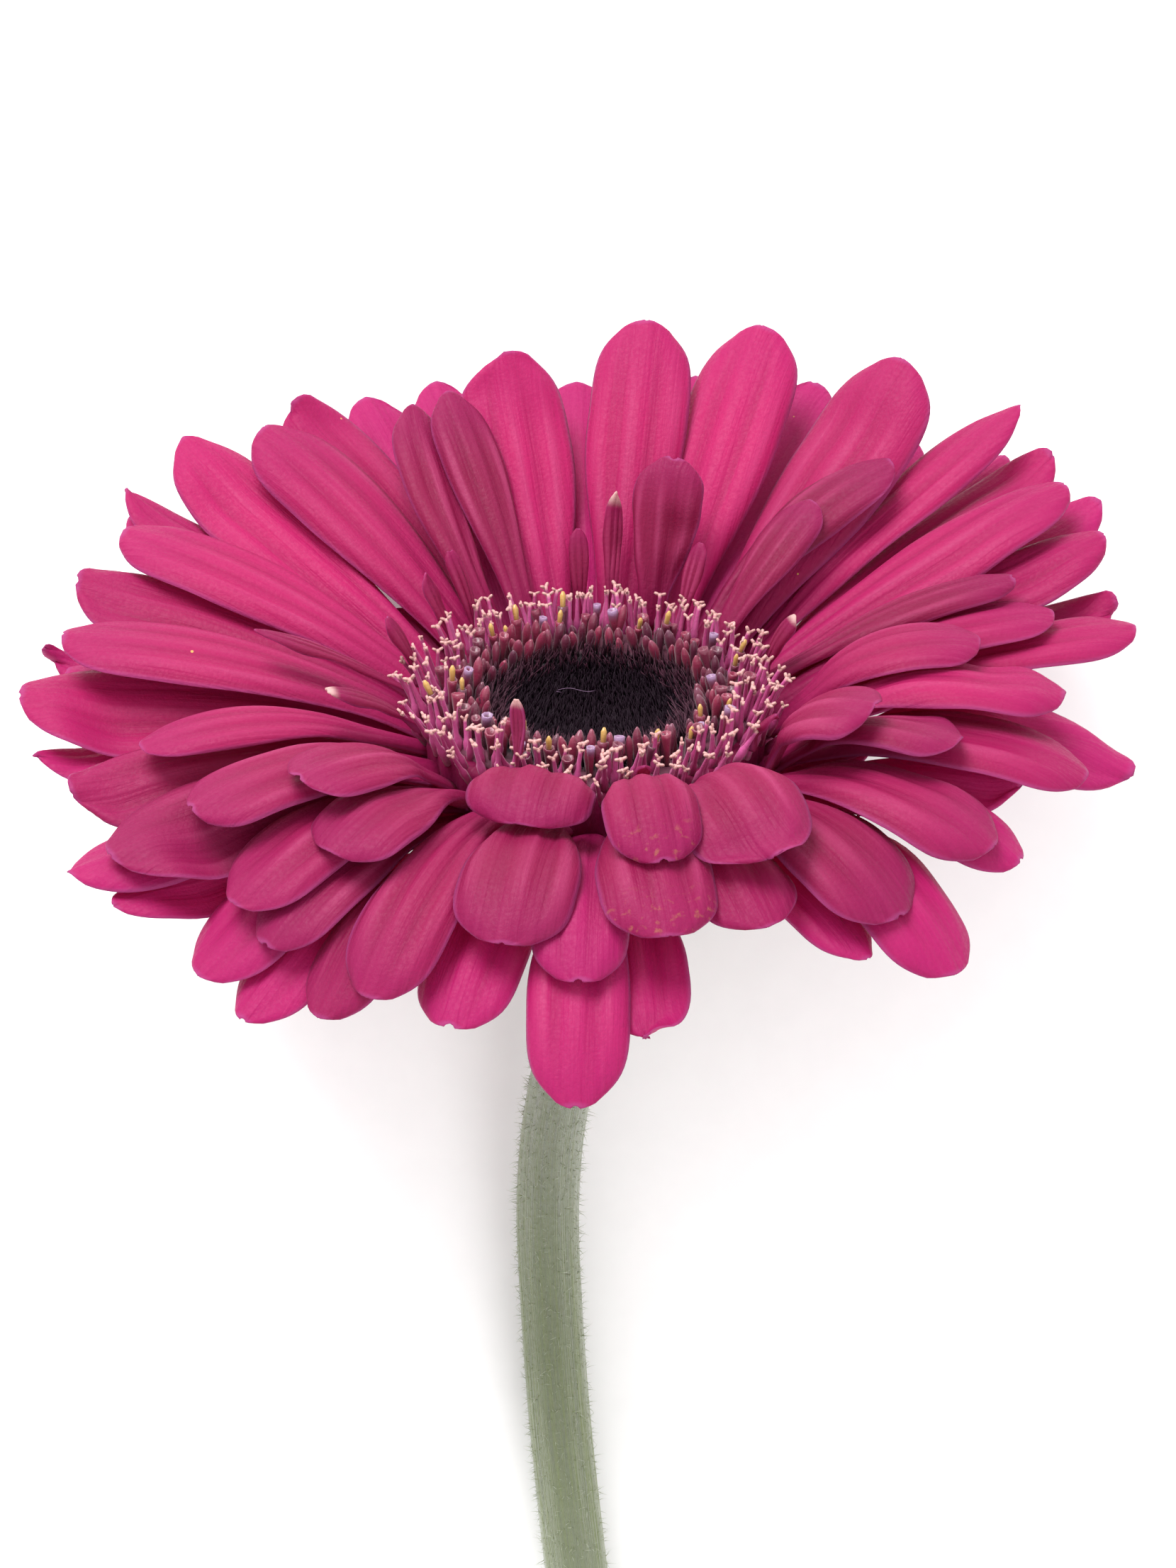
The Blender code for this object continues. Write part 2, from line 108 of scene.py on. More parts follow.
# The claws of the petals that the others hide: how many fit round the disc, how far they reach,
# the height and radius that their slope is measured from, and the sine of the azimuth below which
# there are none, because the front petals leave no gap.
CLAWS = 44
CLAW_REACH = 28.0
CLAW_RISE = -8.0
CLAW_START = 14.0
CLAWS_BEHIND = -0.35

# One petal: the tip's azimuth about the head's axis (0 is +X, counter-clockwise), its reach from
# the axis and its rise above the disc, the widest width, the bulge of the mid-line above its
# chord, the extra droop of the tip, the turn of azimuth from claw to tip, and its pointedness.
Ray = namedtuple(
    "Ray", "azimuth reach rise width bulge droop sway point", defaults=(2.0, 0.0, 0.0, 0.2)
)

# Small and narrow petals beside the disc, joined at their claws.
SHORT_RAYS = (
    Ray(247, 19.0, 3.2, 3.6, 0.5),
    Ray(284, 19.8, 1.2, 3.0, 0.3),
    Ray(330, 20.0, 1.5, 3.2, 0.5),
    Ray(17, 20.5, 3.6, 3.8, 0.6),
    Ray(18, 43.0, 4.0, 5.5, 1.5),
    Ray(45, 30.5, 8.0, 6.0, 1.0),
    Ray(42, 39.5, 10.0, 7.5, 1.5, sway=-9),
    Ray(60, 21.5, 5.0, 3.6, 0.5),
    Ray(71, 24.5, 12.0, 7.5, 1.5),
    Ray(84, 22.0, 9.0, 3.8, 0.8),
    Ray(94, 20.5, 5.6, 3.4, 0.5),
    Ray(112, 38.5, 13.0, 6.5, 1.2, point=0.5),
    Ray(117, 39.5, 12.0, 6.5, 1.2, sway=-6, point=0.5),
    Ray(131, 21.5, 5.5, 3.2, 0.6),
    Ray(141, 20.8, 4.6, 4.0, 0.5),
    Ray(166, 20.6, 4.0, 3.6, 0.5),
    Ray(176, 32.4, 4.0, 3.4, 0.8, point=0.8),
    Ray(197, 26.4, 3.0, 4.4, 0.8, point=0.6),
)

# Inner petals, on top.
INNER_RAYS = (
    Ray(255, 26.0, -1.2, 12.5, 5.5, -3.0),
    Ray(282, 31.0, -2.0, 9.5, 6.5, -3.0),
    Ray(299, 34.5, -1.0, 13.0, 7.0, -3.5),
    Ray(335, 29.0, 4.0, 10.5, 3.0, -1.0),
    Ray(4, 37.0, 3.0, 9.0, 3.0),
    Ray(217, 34.0, 1.0, 9.5, 2.5, -1.0),
    Ray(227, 35.5, -3.5, 11.0, 3.5, -1.0),
    Ray(192, 43.5, -2.0, 7.0, 2.5),
    Ray(207, 41.8, -3.0, 11.0, 3.0),
    Ray(13, 45.7, 2.0, 9.0, 3.0),
    Ray(357, 45.0, 0.5, 12.0, 4.8, 1.0),
    Ray(342, 36.5, 0.5, 10.5, 3.5, 0.5),
)

# The main petals.
MAIN_RAYS = (
    Ray(103, 39.5, 16.2, 12.0, 1.0),
    Ray(82.5, 41.8, 18.0, 10.4, 1.0),
    Ray(68, 45.4, 17.1, 11.2, 1.0),
    Ray(50, 47.9, 16.2, 13.0, 1.0),
    Ray(38, 53.7, 12.8, 7.5, 1.5, sway=-4, point=0.7),
    Ray(28, 52.6, 8.2, 9.0, 2.0),
    Ray(34, 55.0, 9.6, 9.0, 2.0),
    Ray(22, 54.0, 5.2, 9.0, 2.0),
    Ray(11, 53.4, 0.4, 9.5, 2.5),
    Ray(17, 53.7, 1.9, 9.5, 2.5),
    Ray(349, 47.5, -5.0, 11.0, 4.0, 1.0),
    Ray(331, 42.5, -6.0, 12.0, 4.0, 1.0),
    Ray(314, 40.5, -8.5, 12.0, 4.0, 1.0),
    Ray(281, 36.5, -6.5, 11.5, 4.5, -1.0),
    Ray(257, 36.5, -7.5, 11.5, 4.5, -1.0),
    Ray(296, 36.5, -7.2, 10.5, 4.5, -1.0),
    Ray(219, 42.5, -8.5, 10.5, 4.0),
    Ray(241, 42.0, -12.4, 9.5, 4.5),
    Ray(225, 42.5, -11.0, 9.5, 4.0),
    Ray(235, 43.8, -15.0, 9.0, 4.5),
    Ray(205, 49.5, -6.5, 13.0, 4.0, 1.0),
    Ray(193, 50.5, -5.0, 11.0, 3.5),
    Ray(174, 51.0, 2.0, 11.0, 2.5),
    Ray(179, 54.8, -1.8, 13.0, 3.0),
    Ray(155, 50.6, 5.0, 10.5, 2.5),
    Ray(163, 52.6, 3.4, 11.0, 2.5),
    Ray(134, 47.0, 10.0, 11.0, 1.5, sway=4),
    Ray(140, 53.5, 8.7, 10.5, 2.0, sway=-4, point=0.5),
    Ray(148, 54.4, 7.7, 9.0, 2.5),
    Ray(128, 48.5, 11.8, 11.5, 1.5, sway=4),
)

# The outer petals.
OUTER_RAYS = (
    Ray(92, 46.2, 8.9, 10.0, 2.0),
    Ray(77, 47.9, 9.5, 9.5, 2.0),
    Ray(64, 51.5, 8.9, 10.0, 2.0),
    Ray(268, 38.0, -10.0, 9.5, 4.0),
    Ray(358, 52.8, -8.0, 13.0, 8.6, 3.6),
    Ray(335, 44.0, -8.8, 10.0, 4.0, 1.0),
    Ray(317, 45.5, -13.3, 11.5, 4.5, 1.0, sway=-5),
    Ray(268, 45.0, -19.0, 9.8, 4.5, point=0.4),
    Ray(218.5, 46.5, -14.8, 11.0, 4.5),
    Ray(225.7, 46.5, -16.8, 9.6, 4.5),
    Ray(201.5, 53.0, -8.4, 13.0, 4.0, 1.0),
    Ray(184, 53.7, -4.0, 9.0, 3.0),
)

# The lowest petals, seen only in part, joined at their claws.
UNDER_RAYS = (
    Ray(109, 48.8, 8.9, 9.0, 2.0),
    Ray(117, 50.7, 7.7, 9.0, 2.0),
    Ray(53, 53.6, 4.2, 10.0, 2.0),
    Ray(41, 54.5, 6.0, 9.0),
    Ray(28, 56.7, 6.0, 9.0),
    Ray(18, 51.5, 0.2, 9.0),
    Ray(346, 42.0, -4.0, 8.0, 3.0),
    Ray(309, 40.0, -12.0, 7.0, 3.0, point=0.7),
    Ray(277, 41.0, -13.3, 10.5, 3.5),
    Ray(251, 40.0, -15.0, 9.8, 3.5),
    Ray(207, 50.0, -10.5, 8.0, 2.5),
    Ray(171, 51.5, -3.5, 9.0),
    Ray(168, 54.2, 0.6, 9.0),
    Ray(148, 54.0, 3.0, 9.0),
)


def smoothstep(t):
    t = min(max(t, 0.0), 1.0)
    return t * t * (3.0 - 2.0 * t)


def width_share(ray, s):
    """The blade's width at s of its length, as a share of its widest: narrow claw, rounded tip."""
    if s <= WIDEST_AT:
        return BASE_WIDTH_SHARE + (1.0 - BASE_WIDTH_SHARE) * smoothstep(s / WIDEST_AT)
    tail = (s - WIDEST_AT) / (1.0 - WIDEST_AT)
    return max((1.0 - tail**3.0) ** (0.38 + 0.6 * ray.point), 0.26 - 0.14 * ray.point)


def mid_line(ray, base, s):
    """The point at s of the way along a petal's mid-line, a cubic arc from its claw to its tip."""
    start = Vector(base)
    tip = Vector((ray.reach, ray.rise))
    chord = tip - start
    above = Vector((-chord.y, chord.x)).normalized()
    first = start + chord / 3.0 + above * (ray.bulge * 4.0 / 3.0)
    second = start + chord * (2.0 / 3.0) + above * (ray.bulge * 4.0 / 3.0 + ray.droop)
    rest = 1.0 - s
    flat = (
        start * rest**3
        + first * (3.0 * rest * rest * s)
        + second * (3.0 * rest * s * s)
        + tip * s**3
    )
    azimuth = math.radians(ray.azimuth - ray.sway * (1.0 - s**1.5))
    return Vector((flat.x * math.cos(azimuth), flat.x * math.sin(azimuth), flat.y))


def blade(ray, base, stations, across):
    """The petal's middle surface, as rows of points from the claw to the tip."""
    rows = []
    for station in range(stations):
        s = station / (stations - 1)
        s = 1.0 - (1.0 - s) ** 1.25
        point = mid_line(ray, base, s)
        ahead = mid_line(ray, base, min(s + 0.02, 1.0))
        behind = mid_line(ray, base, max(s - 0.02, 0.0))
        along = (ahead - behind).normalized()
        radial = Vector((point.x, point.y, 0.0)).normalized()
        side = Vector((-radial.y, radial.x, 0.0))
        side = (side - along * side.dot(along)).normalized()
        up = along.cross(side)
        half = ray.width * width_share(ray, s) / 2.0
        row = []
        for column in range(across):
            u = 2.0 * column / (across - 1) - 1.0
            row.append(point + side * (half * u) - up * (PETAL_CUP * half * u * u))
        rows.append(row)
    return rows


def normals_of(rows):
    """The upward normal at each point of a blade."""
    last_row = len(rows) - 1
    last_column = len(rows[0]) - 1
    normals = []
    for i, row in enumerate(rows):
        line = []
        for j in range(len(row)):
            along = rows[min(i + 1, last_row)][j] - rows[max(i - 1, 0)][j]
            side = row[min(j + 1, last_column)] - row[max(j - 1, 0)]
            line.append(along.cross(side).normalized())
        normals.append(line)
    return normals


def eased(drops):
    """Drops spread to their neighbours, so that a pressed blade stays smooth."""
    last_row = len(drops) - 1
    last_column = len(drops[0]) - 1
    smooth = [list(line) for line in drops]
    for _ in range(6):
        spread = []
        for i, line in enumerate(smooth):
            fresh = []
            for j in range(len(line)):
                around = (
                    smooth[max(i - 1, 0)][j]
                    + smooth[min(i + 1, last_row)][j]
                    + line[max(j - 1, 0)]
                    + line[min(j + 1, last_column)]
                )
                fresh.append(max(drops[i][j], 0.92 * around / 4.0))
            spread.append(fresh)
        smooth = spread
    return smooth


def clearance_lack(point, normal, above, reach):
    """How far a point of a blade must go down along its normal to clear the solids above it."""
    clear = PETAL_THICKNESS / 2.0 + PETAL_GAP
    hit = above.ray_cast(point - normal * reach, normal, reach + clear)
    return 0.0 if hit[3] is None else reach + clear - hit[3]


def drops_needed(rows, normals, above, reach):
    """The drop at each point of a blade, from the points themselves and from those between them."""
    drops = [[0.0] * len(rows[0]) for _ in rows]
    for i in range(len(rows) - 1):
        for j in range(len(rows[0]) - 1):
            corners = ((i, j), (i + 1, j), (i, j + 1), (i + 1, j + 1))
            lack = 0.0
            for down in range(PRESS_SAMPLES + 1):
                for over in range(PRESS_SAMPLES + 1):
                    p = down / PRESS_SAMPLES
                    q = over / PRESS_SAMPLES
                    shares = ((1 - p) * (1 - q), p * (1 - q), (1 - p) * q, p * q)
                    point = Vector()
                    normal = Vector()
                    for (a, b), share in zip(corners, shares):
                        point += rows[a][b] * share
                        normal += normals[a][b] * share
                    lack = max(lack, clearance_lack(point, normal.normalized(), above, reach))
            for a, b in corners:
                drops[a][b] = max(drops[a][b], lack)
    return drops


def pressed(rows, above, reach=6.0, passes=4):
    """The blade lowered along its normals until it clears the solids above it."""
    normals = normals_of(rows)
    for _ in range(passes):
        drops = drops_needed(rows, normals, above, reach)
        if max(max(line) for line in drops) < 0.02:
            break
        drops = eased(drops)
        rows = [
            [point - normal * drop for point, normal, drop in zip(row, line, found)]
            for row, line, found in zip(rows, normals, drops)
        ]
    return rows


class Canopy:
    """The solids placed so far, which a new petal must lie under."""

    def __init__(self):
        self.points = []
        self.faces = []

    def add(self, points, faces):
        first = len(self.points)
        self.points.extend(points)
        self.faces.extend(tuple(first + index for index in face) for face in faces)

    def tree(self):
        return BVHTree.FromPolygons(self.points, self.faces)


CANOPY = Canopy()


def coarse_skin(rows):
    """Points and faces of a pressed blade at its full thickness, for the petals that come below it."""
    normals = normals_of(rows)
    half = PETAL_THICKNESS / 2.0
    top = [p + n * half for row, line in zip(rows, normals) for p, n in zip(row, line)]
    low = [p - n * half for row, line in zip(rows, normals) for p, n in zip(row, line)]
    return top + low, skin_faces(len(rows), len(rows[0]))


def skin_faces(rows, across):
    """Faces of a closed skin: a grid of points above, the same below, and the rim between them."""
    below = rows * across
    faces = []
    for i in range(rows - 1):
        for j in range(across - 1):
            a = i * across + j
            faces.append((a, a + across, a + across + 1, a + 1))
            faces.append((below + a, below + a + 1, below + a + across + 1, below + a + across))
    rim = list(range(across))
    rim += [i * across + across - 1 for i in range(1, rows)]
    rim += [(rows - 1) * across + j for j in range(across - 2, -1, -1)]
    rim += [i * across for i in range(rows - 2, 0, -1)]
    return faces + [(a, b, below + b, below + a) for a, b in zip(rim, rim[1:] + rim[:1])]


def tube_faces(rings, sides):
    """Faces between the rings of a tube, each ring with the same number of sides."""
    faces = []
    for a in range(0, (rings - 1) * sides, sides):
        for k in range(sides):
            n = (k + 1) % sides
            faces.append((a + k, a + n, a + n + sides, a + k + sides))
    return faces


def turned(profile, sides):
    """A profile of (radius, height) turned about the axis; a radius of zero closes it to a point."""
    points = []
    rings = []
    for radius, height in profile:
        if radius == 0.0:
            rings.append([len(points)] * sides)
            points.append(Vector((0.0, 0.0, height)))
            continue
        rings.append(list(range(len(points), len(points) + sides)))
        for k in range(sides):
            angle = math.tau * k / sides
            points.append(Vector((radius * math.cos(angle), radius * math.sin(angle), height)))
    if profile[0][0] > 0.0:
        rings.append(rings[0])
    faces = []
    for lower, upper in zip(rings, rings[1:]):
        for k in range(sides):
            n = (k + 1) % sides
            faces.append(tuple(dict.fromkeys((lower[k], lower[n], upper[n], upper[k]))))
    return points, faces


def disc_outline():
    """The disc's solid as the petals meet it."""
    inner = HEART_RADIUS + FIT_GAP
    return (
        (inner, -DISC_DEPTH),
        (13.6, -DISC_DEPTH),
        (14.8, -5.0),
        (15.8, -2.6),
        (DISC_RADIUS, -0.2),
        (DISC_RADIUS - 0.4, 0.9),
        (DISC_RADIUS - 1.8, DISC_TOP),
        (13.2, 0.2),
        (inner + 0.6, -1.8),
        (inner, -3.2),
    )


def head_place():
    """The matrix that carries the head's frame, in millimetres, to the CAD frame, in metres."""
    points = np.array([vertex.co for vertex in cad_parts["disc_florets"].data.vertices])
    lean = Matrix.Rotation(math.radians(-HEAD_LEAN), 3, "X")
    axes = np.array(lean)
    along = points @ axes
    middle = (along.min(axis=0) + along.max(axis=0)) / 2.0
    middle[2] = along[:, 2].max() - DISC_TOP * MM
    return Matrix.Translation(Vector(axes @ middle)) @ lean.to_4x4() @ Matrix.Scale(MM, 4)


HEAD = head_place()
HEAD_UP = np.array((HEAD.to_3x3().inverted() @ Vector((0.0, 0.0, MM))).normalized())
HEAD_ABOVE_TABLE = HEAD.translation.z / MM


def spline(values, t):
    """Catmull-Rom values at t, in steps of the given values, running on straight past the ends."""
    values = np.asarray(values, float)
    last = len(values) - 1
    shape = (-1,) + (1,) * (values.ndim - 1)
    t = np.asarray(t, float)
    k = np.clip(np.floor(t).astype(int), 0, last - 1)
    f = (np.clip(t, 0.0, last) - k).reshape(shape)
    p1 = values[k]
    p2 = values[k + 1]
    p0 = np.where((k > 0).reshape(shape), values[np.maximum(k - 1, 0)], 2 * p1 - p2)
    p3 = np.where((k + 2 <= last).reshape(shape), values[np.minimum(k + 2, last)], 2 * p2 - p1)
    square = 2 * p0 - 5 * p1 + 4 * p2 - p3
    cube = 3 * p1 - p0 - 3 * p2 + p3
    inside = 0.5 * (2 * p1 + (p2 - p0) * f + square * f**2 + cube * f**3)
    before = np.minimum(t, 0.0).reshape(shape) * (values[1] - values[0])
    beyond = np.maximum(t - last, 0.0).reshape(shape) * (values[last] - values[last - 1])
    return inside + before + beyond


def through_four(columns, u):
    """The cubic through four columns of points at -1, -1/3, 1/3 and 1; straight beyond them."""
    spots = (-1.0, -1.0 / 3.0, 1.0 / 3.0, 1.0)
    over = u - np.clip(u, -1.0, 1.0)
    u = u - over
    right = 1.5 * (columns[:, None, 3, :] - columns[:, None, 2, :])
    left = 1.5 * (columns[:, None, 1, :] - columns[:, None, 0, :])
    result = np.where(over[..., None] > 0.0, right, left) * over[..., None]
    for a, spot in enumerate(spots):
        weight = 1.0
        for b, other in enumerate(spots):
            if a != b:
                weight = weight * (u - other) / (spot - other)
        result = result + weight[..., None] * columns[:, None, a, :]
    return result


def smooth_array(t):
    t = np.clip(t, 0.0, 1.0)
    return t * t * (3.0 - 2.0 * t)


def unit(vectors):
    """The vectors of a grid at a length of one."""
    return vectors / np.maximum(np.linalg.norm(vectors, axis=2, keepdims=True), 1e-9)


# How the coarse stations and the fine rows crowd together towards a petal's tip, and the fine
# columns towards its rims.
STATION_CROWDING = 1.25
ROW_CROWDING = 1.7
# The usual length of a petal, in millimetres, and the half thickness of its rim.
USUAL_LENGTH = 40.0
RIM_HALF = 0.03


def fine_petal(ray, rows, look, dice, kind):
    """A petal's skin from its pressed coarse blade: ribs, a thin wavy rim and a rounded, notched tip.

    Returns its points, its faces, its UV at each point, and its attributes at each point."""
    coarse = np.array([[tuple(point) for point in row] for row in rows])
    last = len(rows) - 1
    across = look.columns
    # s runs from a little inside the CAD claw to a little beyond the CAD tip, which are 0 and 1,
    # and t is the same place counted in stations.
    whole_length = 1.0 + look.tip_growth / USUAL_LENGTH
    steps = 1.0 - (1.0 - np.linspace(0.0, 1.0, look.rows)) ** ROW_CROWDING
    s = -look.claw_length + (whole_length + look.claw_length) * steps
    t = last * (1.0 - (1.0 - np.clip(s, 0.0, 1.0)) ** (1.0 / STATION_CROWDING))
    last_step = (1.0 / last) ** STATION_CROWDING
    first_step = 1.0 - (1.0 - 1.0 / last) ** STATION_CROWDING
    t = t + np.maximum(s - 1.0, 0.0) / last_step + np.minimum(s, 0.0) / first_step
    at_stations = 1.0 - (1.0 - np.arange(last + 1) / last) ** STATION_CROWDING
    coarse_share = spline([width_share(ray, value) for value in at_stations], t)
    tail = np.clip((s - WIDEST_AT) / (whole_length - WIDEST_AT), 0.0, 1.0)
    fine_share = np.array([width_share(ray, min(max(value, 0.0), WIDEST_AT)) for value in s])
    slim = ray.width < SLIM_BELOW
    point = max(ray.point, SLIM_POINT) if slim else ray.point
    fine_share = fine_share * np.maximum(1.0 - tail**3.9, 0.0) ** (0.40 + 0.6 * point)
    if slim:
        fine_share = fine_share * SLIM_SHARE
    ratio = np.maximum(fine_share, 0.03) / np.maximum(coarse_share, 0.05)
    u = np.linspace(-1.0, 1.0, across)
    u = np.sign(u) * (1.0 - (1.0 - np.abs(u)) ** STATION_CROWDING)
    middle = through_four(spline(coarse, t), u[None, :] * ratio[:, None])
    along = unit(np.gradient(middle, axis=0))
    normal = unit(np.cross(along, np.gradient(middle, axis=1)))
    s = s[:, None]
    u = u[None, :]
    # Ribs that fade towards the claw and the tip, a waving rim and a rim that curls down.
    grow = smooth_array(s / 0.25) * (1.0 - 0.75 * smooth_array((s - 0.72) / 0.28))
    lobes = dice.uniform(0.92, 1.08)
    slant = dice.uniform(-0.12, 0.12)
    ridge = np.cos(3.0 * math.pi * (u * lobes + slant * (1.0 - u**2)))
    ridge = ridge + 0.35 * np.cos(7.0 * math.pi * u + dice.uniform(0.0, 6.0))
    height = look.rib_depth * dice.uniform(0.7, 1.35) * min(ray.width / 10.0, 1.1) * ridge * grow
    wave = np.sin(math.tau * (s * dice.uniform(1.2, 2.4) + dice.random()) + math.pi * (u > 0.0))
    height = height + look.rim_wave * dice.uniform(0.4, 1.2) * wave * u**4 * smooth_array(s / 0.4)
    height = height - look.rim_curl * dice.uniform(0.3, 1.3) * np.abs(u) ** 5 * smooth_array(s / 0.5)
    height = height * smooth_array(fine_share / 0.6)[:, None]
    from_middle = u * fine_share[:, None]
    teeth = dice.choice((2.0, 3.0)) * from_middle + dice.uniform(-1.0, 1.0)
    teeth = 0.5 + 0.5 * np.cos(math.pi * teeth)
    at_tip = np.clip((s - 0.9) / 0.12, 0.0, 1.0) ** 2
    notch = look.notch_depth * dice.uniform(0.2, 1.3) * teeth * at_tip
    middle = middle + normal * height[..., None] - along * notch[..., None]
    # No point's middle lies lower than its clearance above the table.
    lift = np.maximum(TABLE_CLEARANCE - middle @ HEAD_UP - HEAD_ABOVE_TABLE, 0.0)
    middle = middle + HEAD_UP * lift[..., None]
    # The two skins, thin at the rim and at the tip.
    rim_thin = np.sqrt(np.clip(1.0 - np.abs(u) ** 6, 0.0, 1.0)) * np.ones_like(s)
    tip_thin = np.sqrt(np.clip(1.0 - tail[:, None] ** 8, 0.0, 1.0))
    half = RIM_HALF + (look.thickness / 2.0 - RIM_HALF) * rim_thin * tip_thin
    half = half * (1.0 + 1.2 * (1.0 - smooth_array(s / 0.25)))
    normal = unit(np.cross(np.gradient(middle, axis=0), np.gradient(middle, axis=1)))
    offset = normal * half[..., None]
    points = np.concatenate([(middle + offset).reshape(-1, 3), (middle - offset).reshape(-1, 3)])
    # Its map, in centimetres, moved at random so that no two petals have the same veins.
    reach = np.cumsum(np.linalg.norm(np.diff(middle[:, across // 2], axis=0), axis=1))
    reach = np.concatenate([[0.0], reach])[:, None]
    wide = u * (ray.width / 2.0 * fine_share)[:, None]
    away = 100.0 * dice.random()
    place = np.stack([wide + away, reach + away + 0.0 * wide], axis=2).reshape(-1, 2) / 10.0
    # The tint: each petal's random tone, plus painted light on the petals behind the disc and painted
    # shade on those in front.
    tint_and_painted_shade = PAINTED_LIGHT_BEHIND * math.sin(math.radians(ray.azimuth)) + dice.uniform(0.3, 0.7)
    whole_skin = np.ones((look.rows, across))
    marks = {
        "along": np.clip(s, 0.0, 1.0),
        "rib": ridge / 1.35 * grow,
        "rim": np.maximum(np.abs(u) ** 3, (tail**6)[:, None]),
        "tint": tint_and_painted_shade,
        "kind": kind,
    }
    marks = {name: np.tile((whole_skin * value).reshape(-1), 2) for name, value in marks.items()}
    marks["under"] = np.repeat([0.0, 1.0], look.rows * across)
    return points, skin_faces(look.rows, across), np.concatenate([place, place]), marks


def shell(name, points, faces, marks):
    """A mesh with the marks stored as a number at each point."""
    mesh = bpy.data.meshes.new(name)
    mesh.from_pydata([tuple(point) for point in points], [], faces)
    for label, values in marks.items():
        layer = mesh.attributes.new(label, "FLOAT", "POINT")
        layer.data.foreach_set("value", np.asarray(values, np.float32))
    return mesh


def face_outwards(mesh):
    work = bmesh.new()
    work.from_mesh(mesh)
    bmesh.ops.recalc_face_normals(work, faces=work.faces)
    work.to_mesh(mesh)
    work.free()


def in_scene(name, mesh):
    """A new object at the origin that holds the mesh."""
    built = bpy.data.objects.new(name, mesh)
    bpy.context.scene.collection.objects.link(built)
    return built


def mesh_piece(name, points, faces, place, uv, marks):
    """A piece at the origin, its points carried by the matrix, smooth, with faces out."""
    mesh = shell(name, points, faces, marks)
    if uv is not None:
        layer = mesh.uv_layers.new(name="along_petal")
        corners = np.zeros(len(mesh.loops), np.int32)
        mesh.loops.foreach_get("vertex_index", corners)
        layer.data.foreach_set("uv", np.asarray(uv, np.float32)[corners].reshape(-1))
    mesh.transform(place)
    face_outwards(mesh)
    mesh.shade_smooth()
    return in_scene(name, mesh)


def finish_piece(built, slot, surface, nodes=()):
    """Gives a piece its material and its CAD body, and hides the CAD nodes that it stands for. The slot
    is not used.
    """
    built.data.materials.clear()
    built.data.materials.append(surface)
    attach(built, "root")
    if nodes:
        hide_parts(*nodes)


def whorl_petals(rays, whorl, look, kinds):
    """The fine skins of a whorl, each pressed under the petals placed before it.

    Kinds gives the petals, counted from 1, that have a blemish or a pale tip."""
    base = (whorl.radius, whorl.height)
    skins = []
    for number, ray in enumerate(rays):
        rows = pressed(blade(ray, base, whorl.stations, ACROSS), CANOPY.tree())
        CANOPY.add(*coarse_skin(rows))
        dice = random.Random(whorl.seed * 1000 + number)
        skins.append(fine_petal(ray, rows, look, dice, kinds.get(number + 1, 0.0)))
    return skins


def claw_rays():
    """The hidden petals behind and beside the disc, which stop at their claws, in even steps."""
    rays = []
    for number in (*range(0, CLAWS, 2), *range(1, CLAWS, 2)):
        azimuth = 360.0 * (number + 0.5) / CLAWS
        if math.sin(math.radians(azimuth)) < CLAWS_BEHIND:
            continue
        apart = [abs((ray.azimuth - azimuth + 180.0) % 360.0 - 180.0) for ray in MAIN_RAYS]
        near = [MAIN_RAYS[index] for index in np.argsort(apart, kind="stable")[:3]]
        slope = min((ray.rise - CLAW_RISE) / (ray.reach - CLAW_START) for ray in near)
        rise = CLAW_RISE + slope * (CLAW_REACH - CLAW_START)
        rays.append(Ray(azimuth, CLAW_REACH, rise, 7.6, 2.2))
    return rays


def separate_whorl(name, rays, look, surface, kinds):
    """A whorl with a piece for each petal, as its CAD nodes have it."""
    whorl = WHORLS[name]
    for number, skin in enumerate(whorl_petals(rays, whorl, look, kinds), 1):
        points, faces, uv, marks = skin
        node = f"{name}_ray_{number:02d}"
        built = mesh_piece(f"petal_{node}", points, faces, HEAD, uv, marks)
        finish_piece(built, whorl.slot, surface, [node])


def grouped_whorl(piece, name, rays, look, surface, kinds, nodes):
    """A whorl as one piece, for petals that share a CAD node or have none."""
    whorl = WHORLS[name]
    points = []
    faces = []
    uv = []
    marks = {}
    for more_points, more_faces, more_uv, more_marks in whorl_petals(rays, whorl, look, kinds):
        first = len(points)
        points.extend(more_points)
        faces.extend(tuple(first + index for index in face) for face in more_faces)
        uv.extend(more_uv)
        for label, values in more_marks.items():
            marks.setdefault(label, []).extend(values)
    finish_piece(mesh_piece(piece, points, faces, HEAD, uv, marks), whorl.slot, surface, nodes)


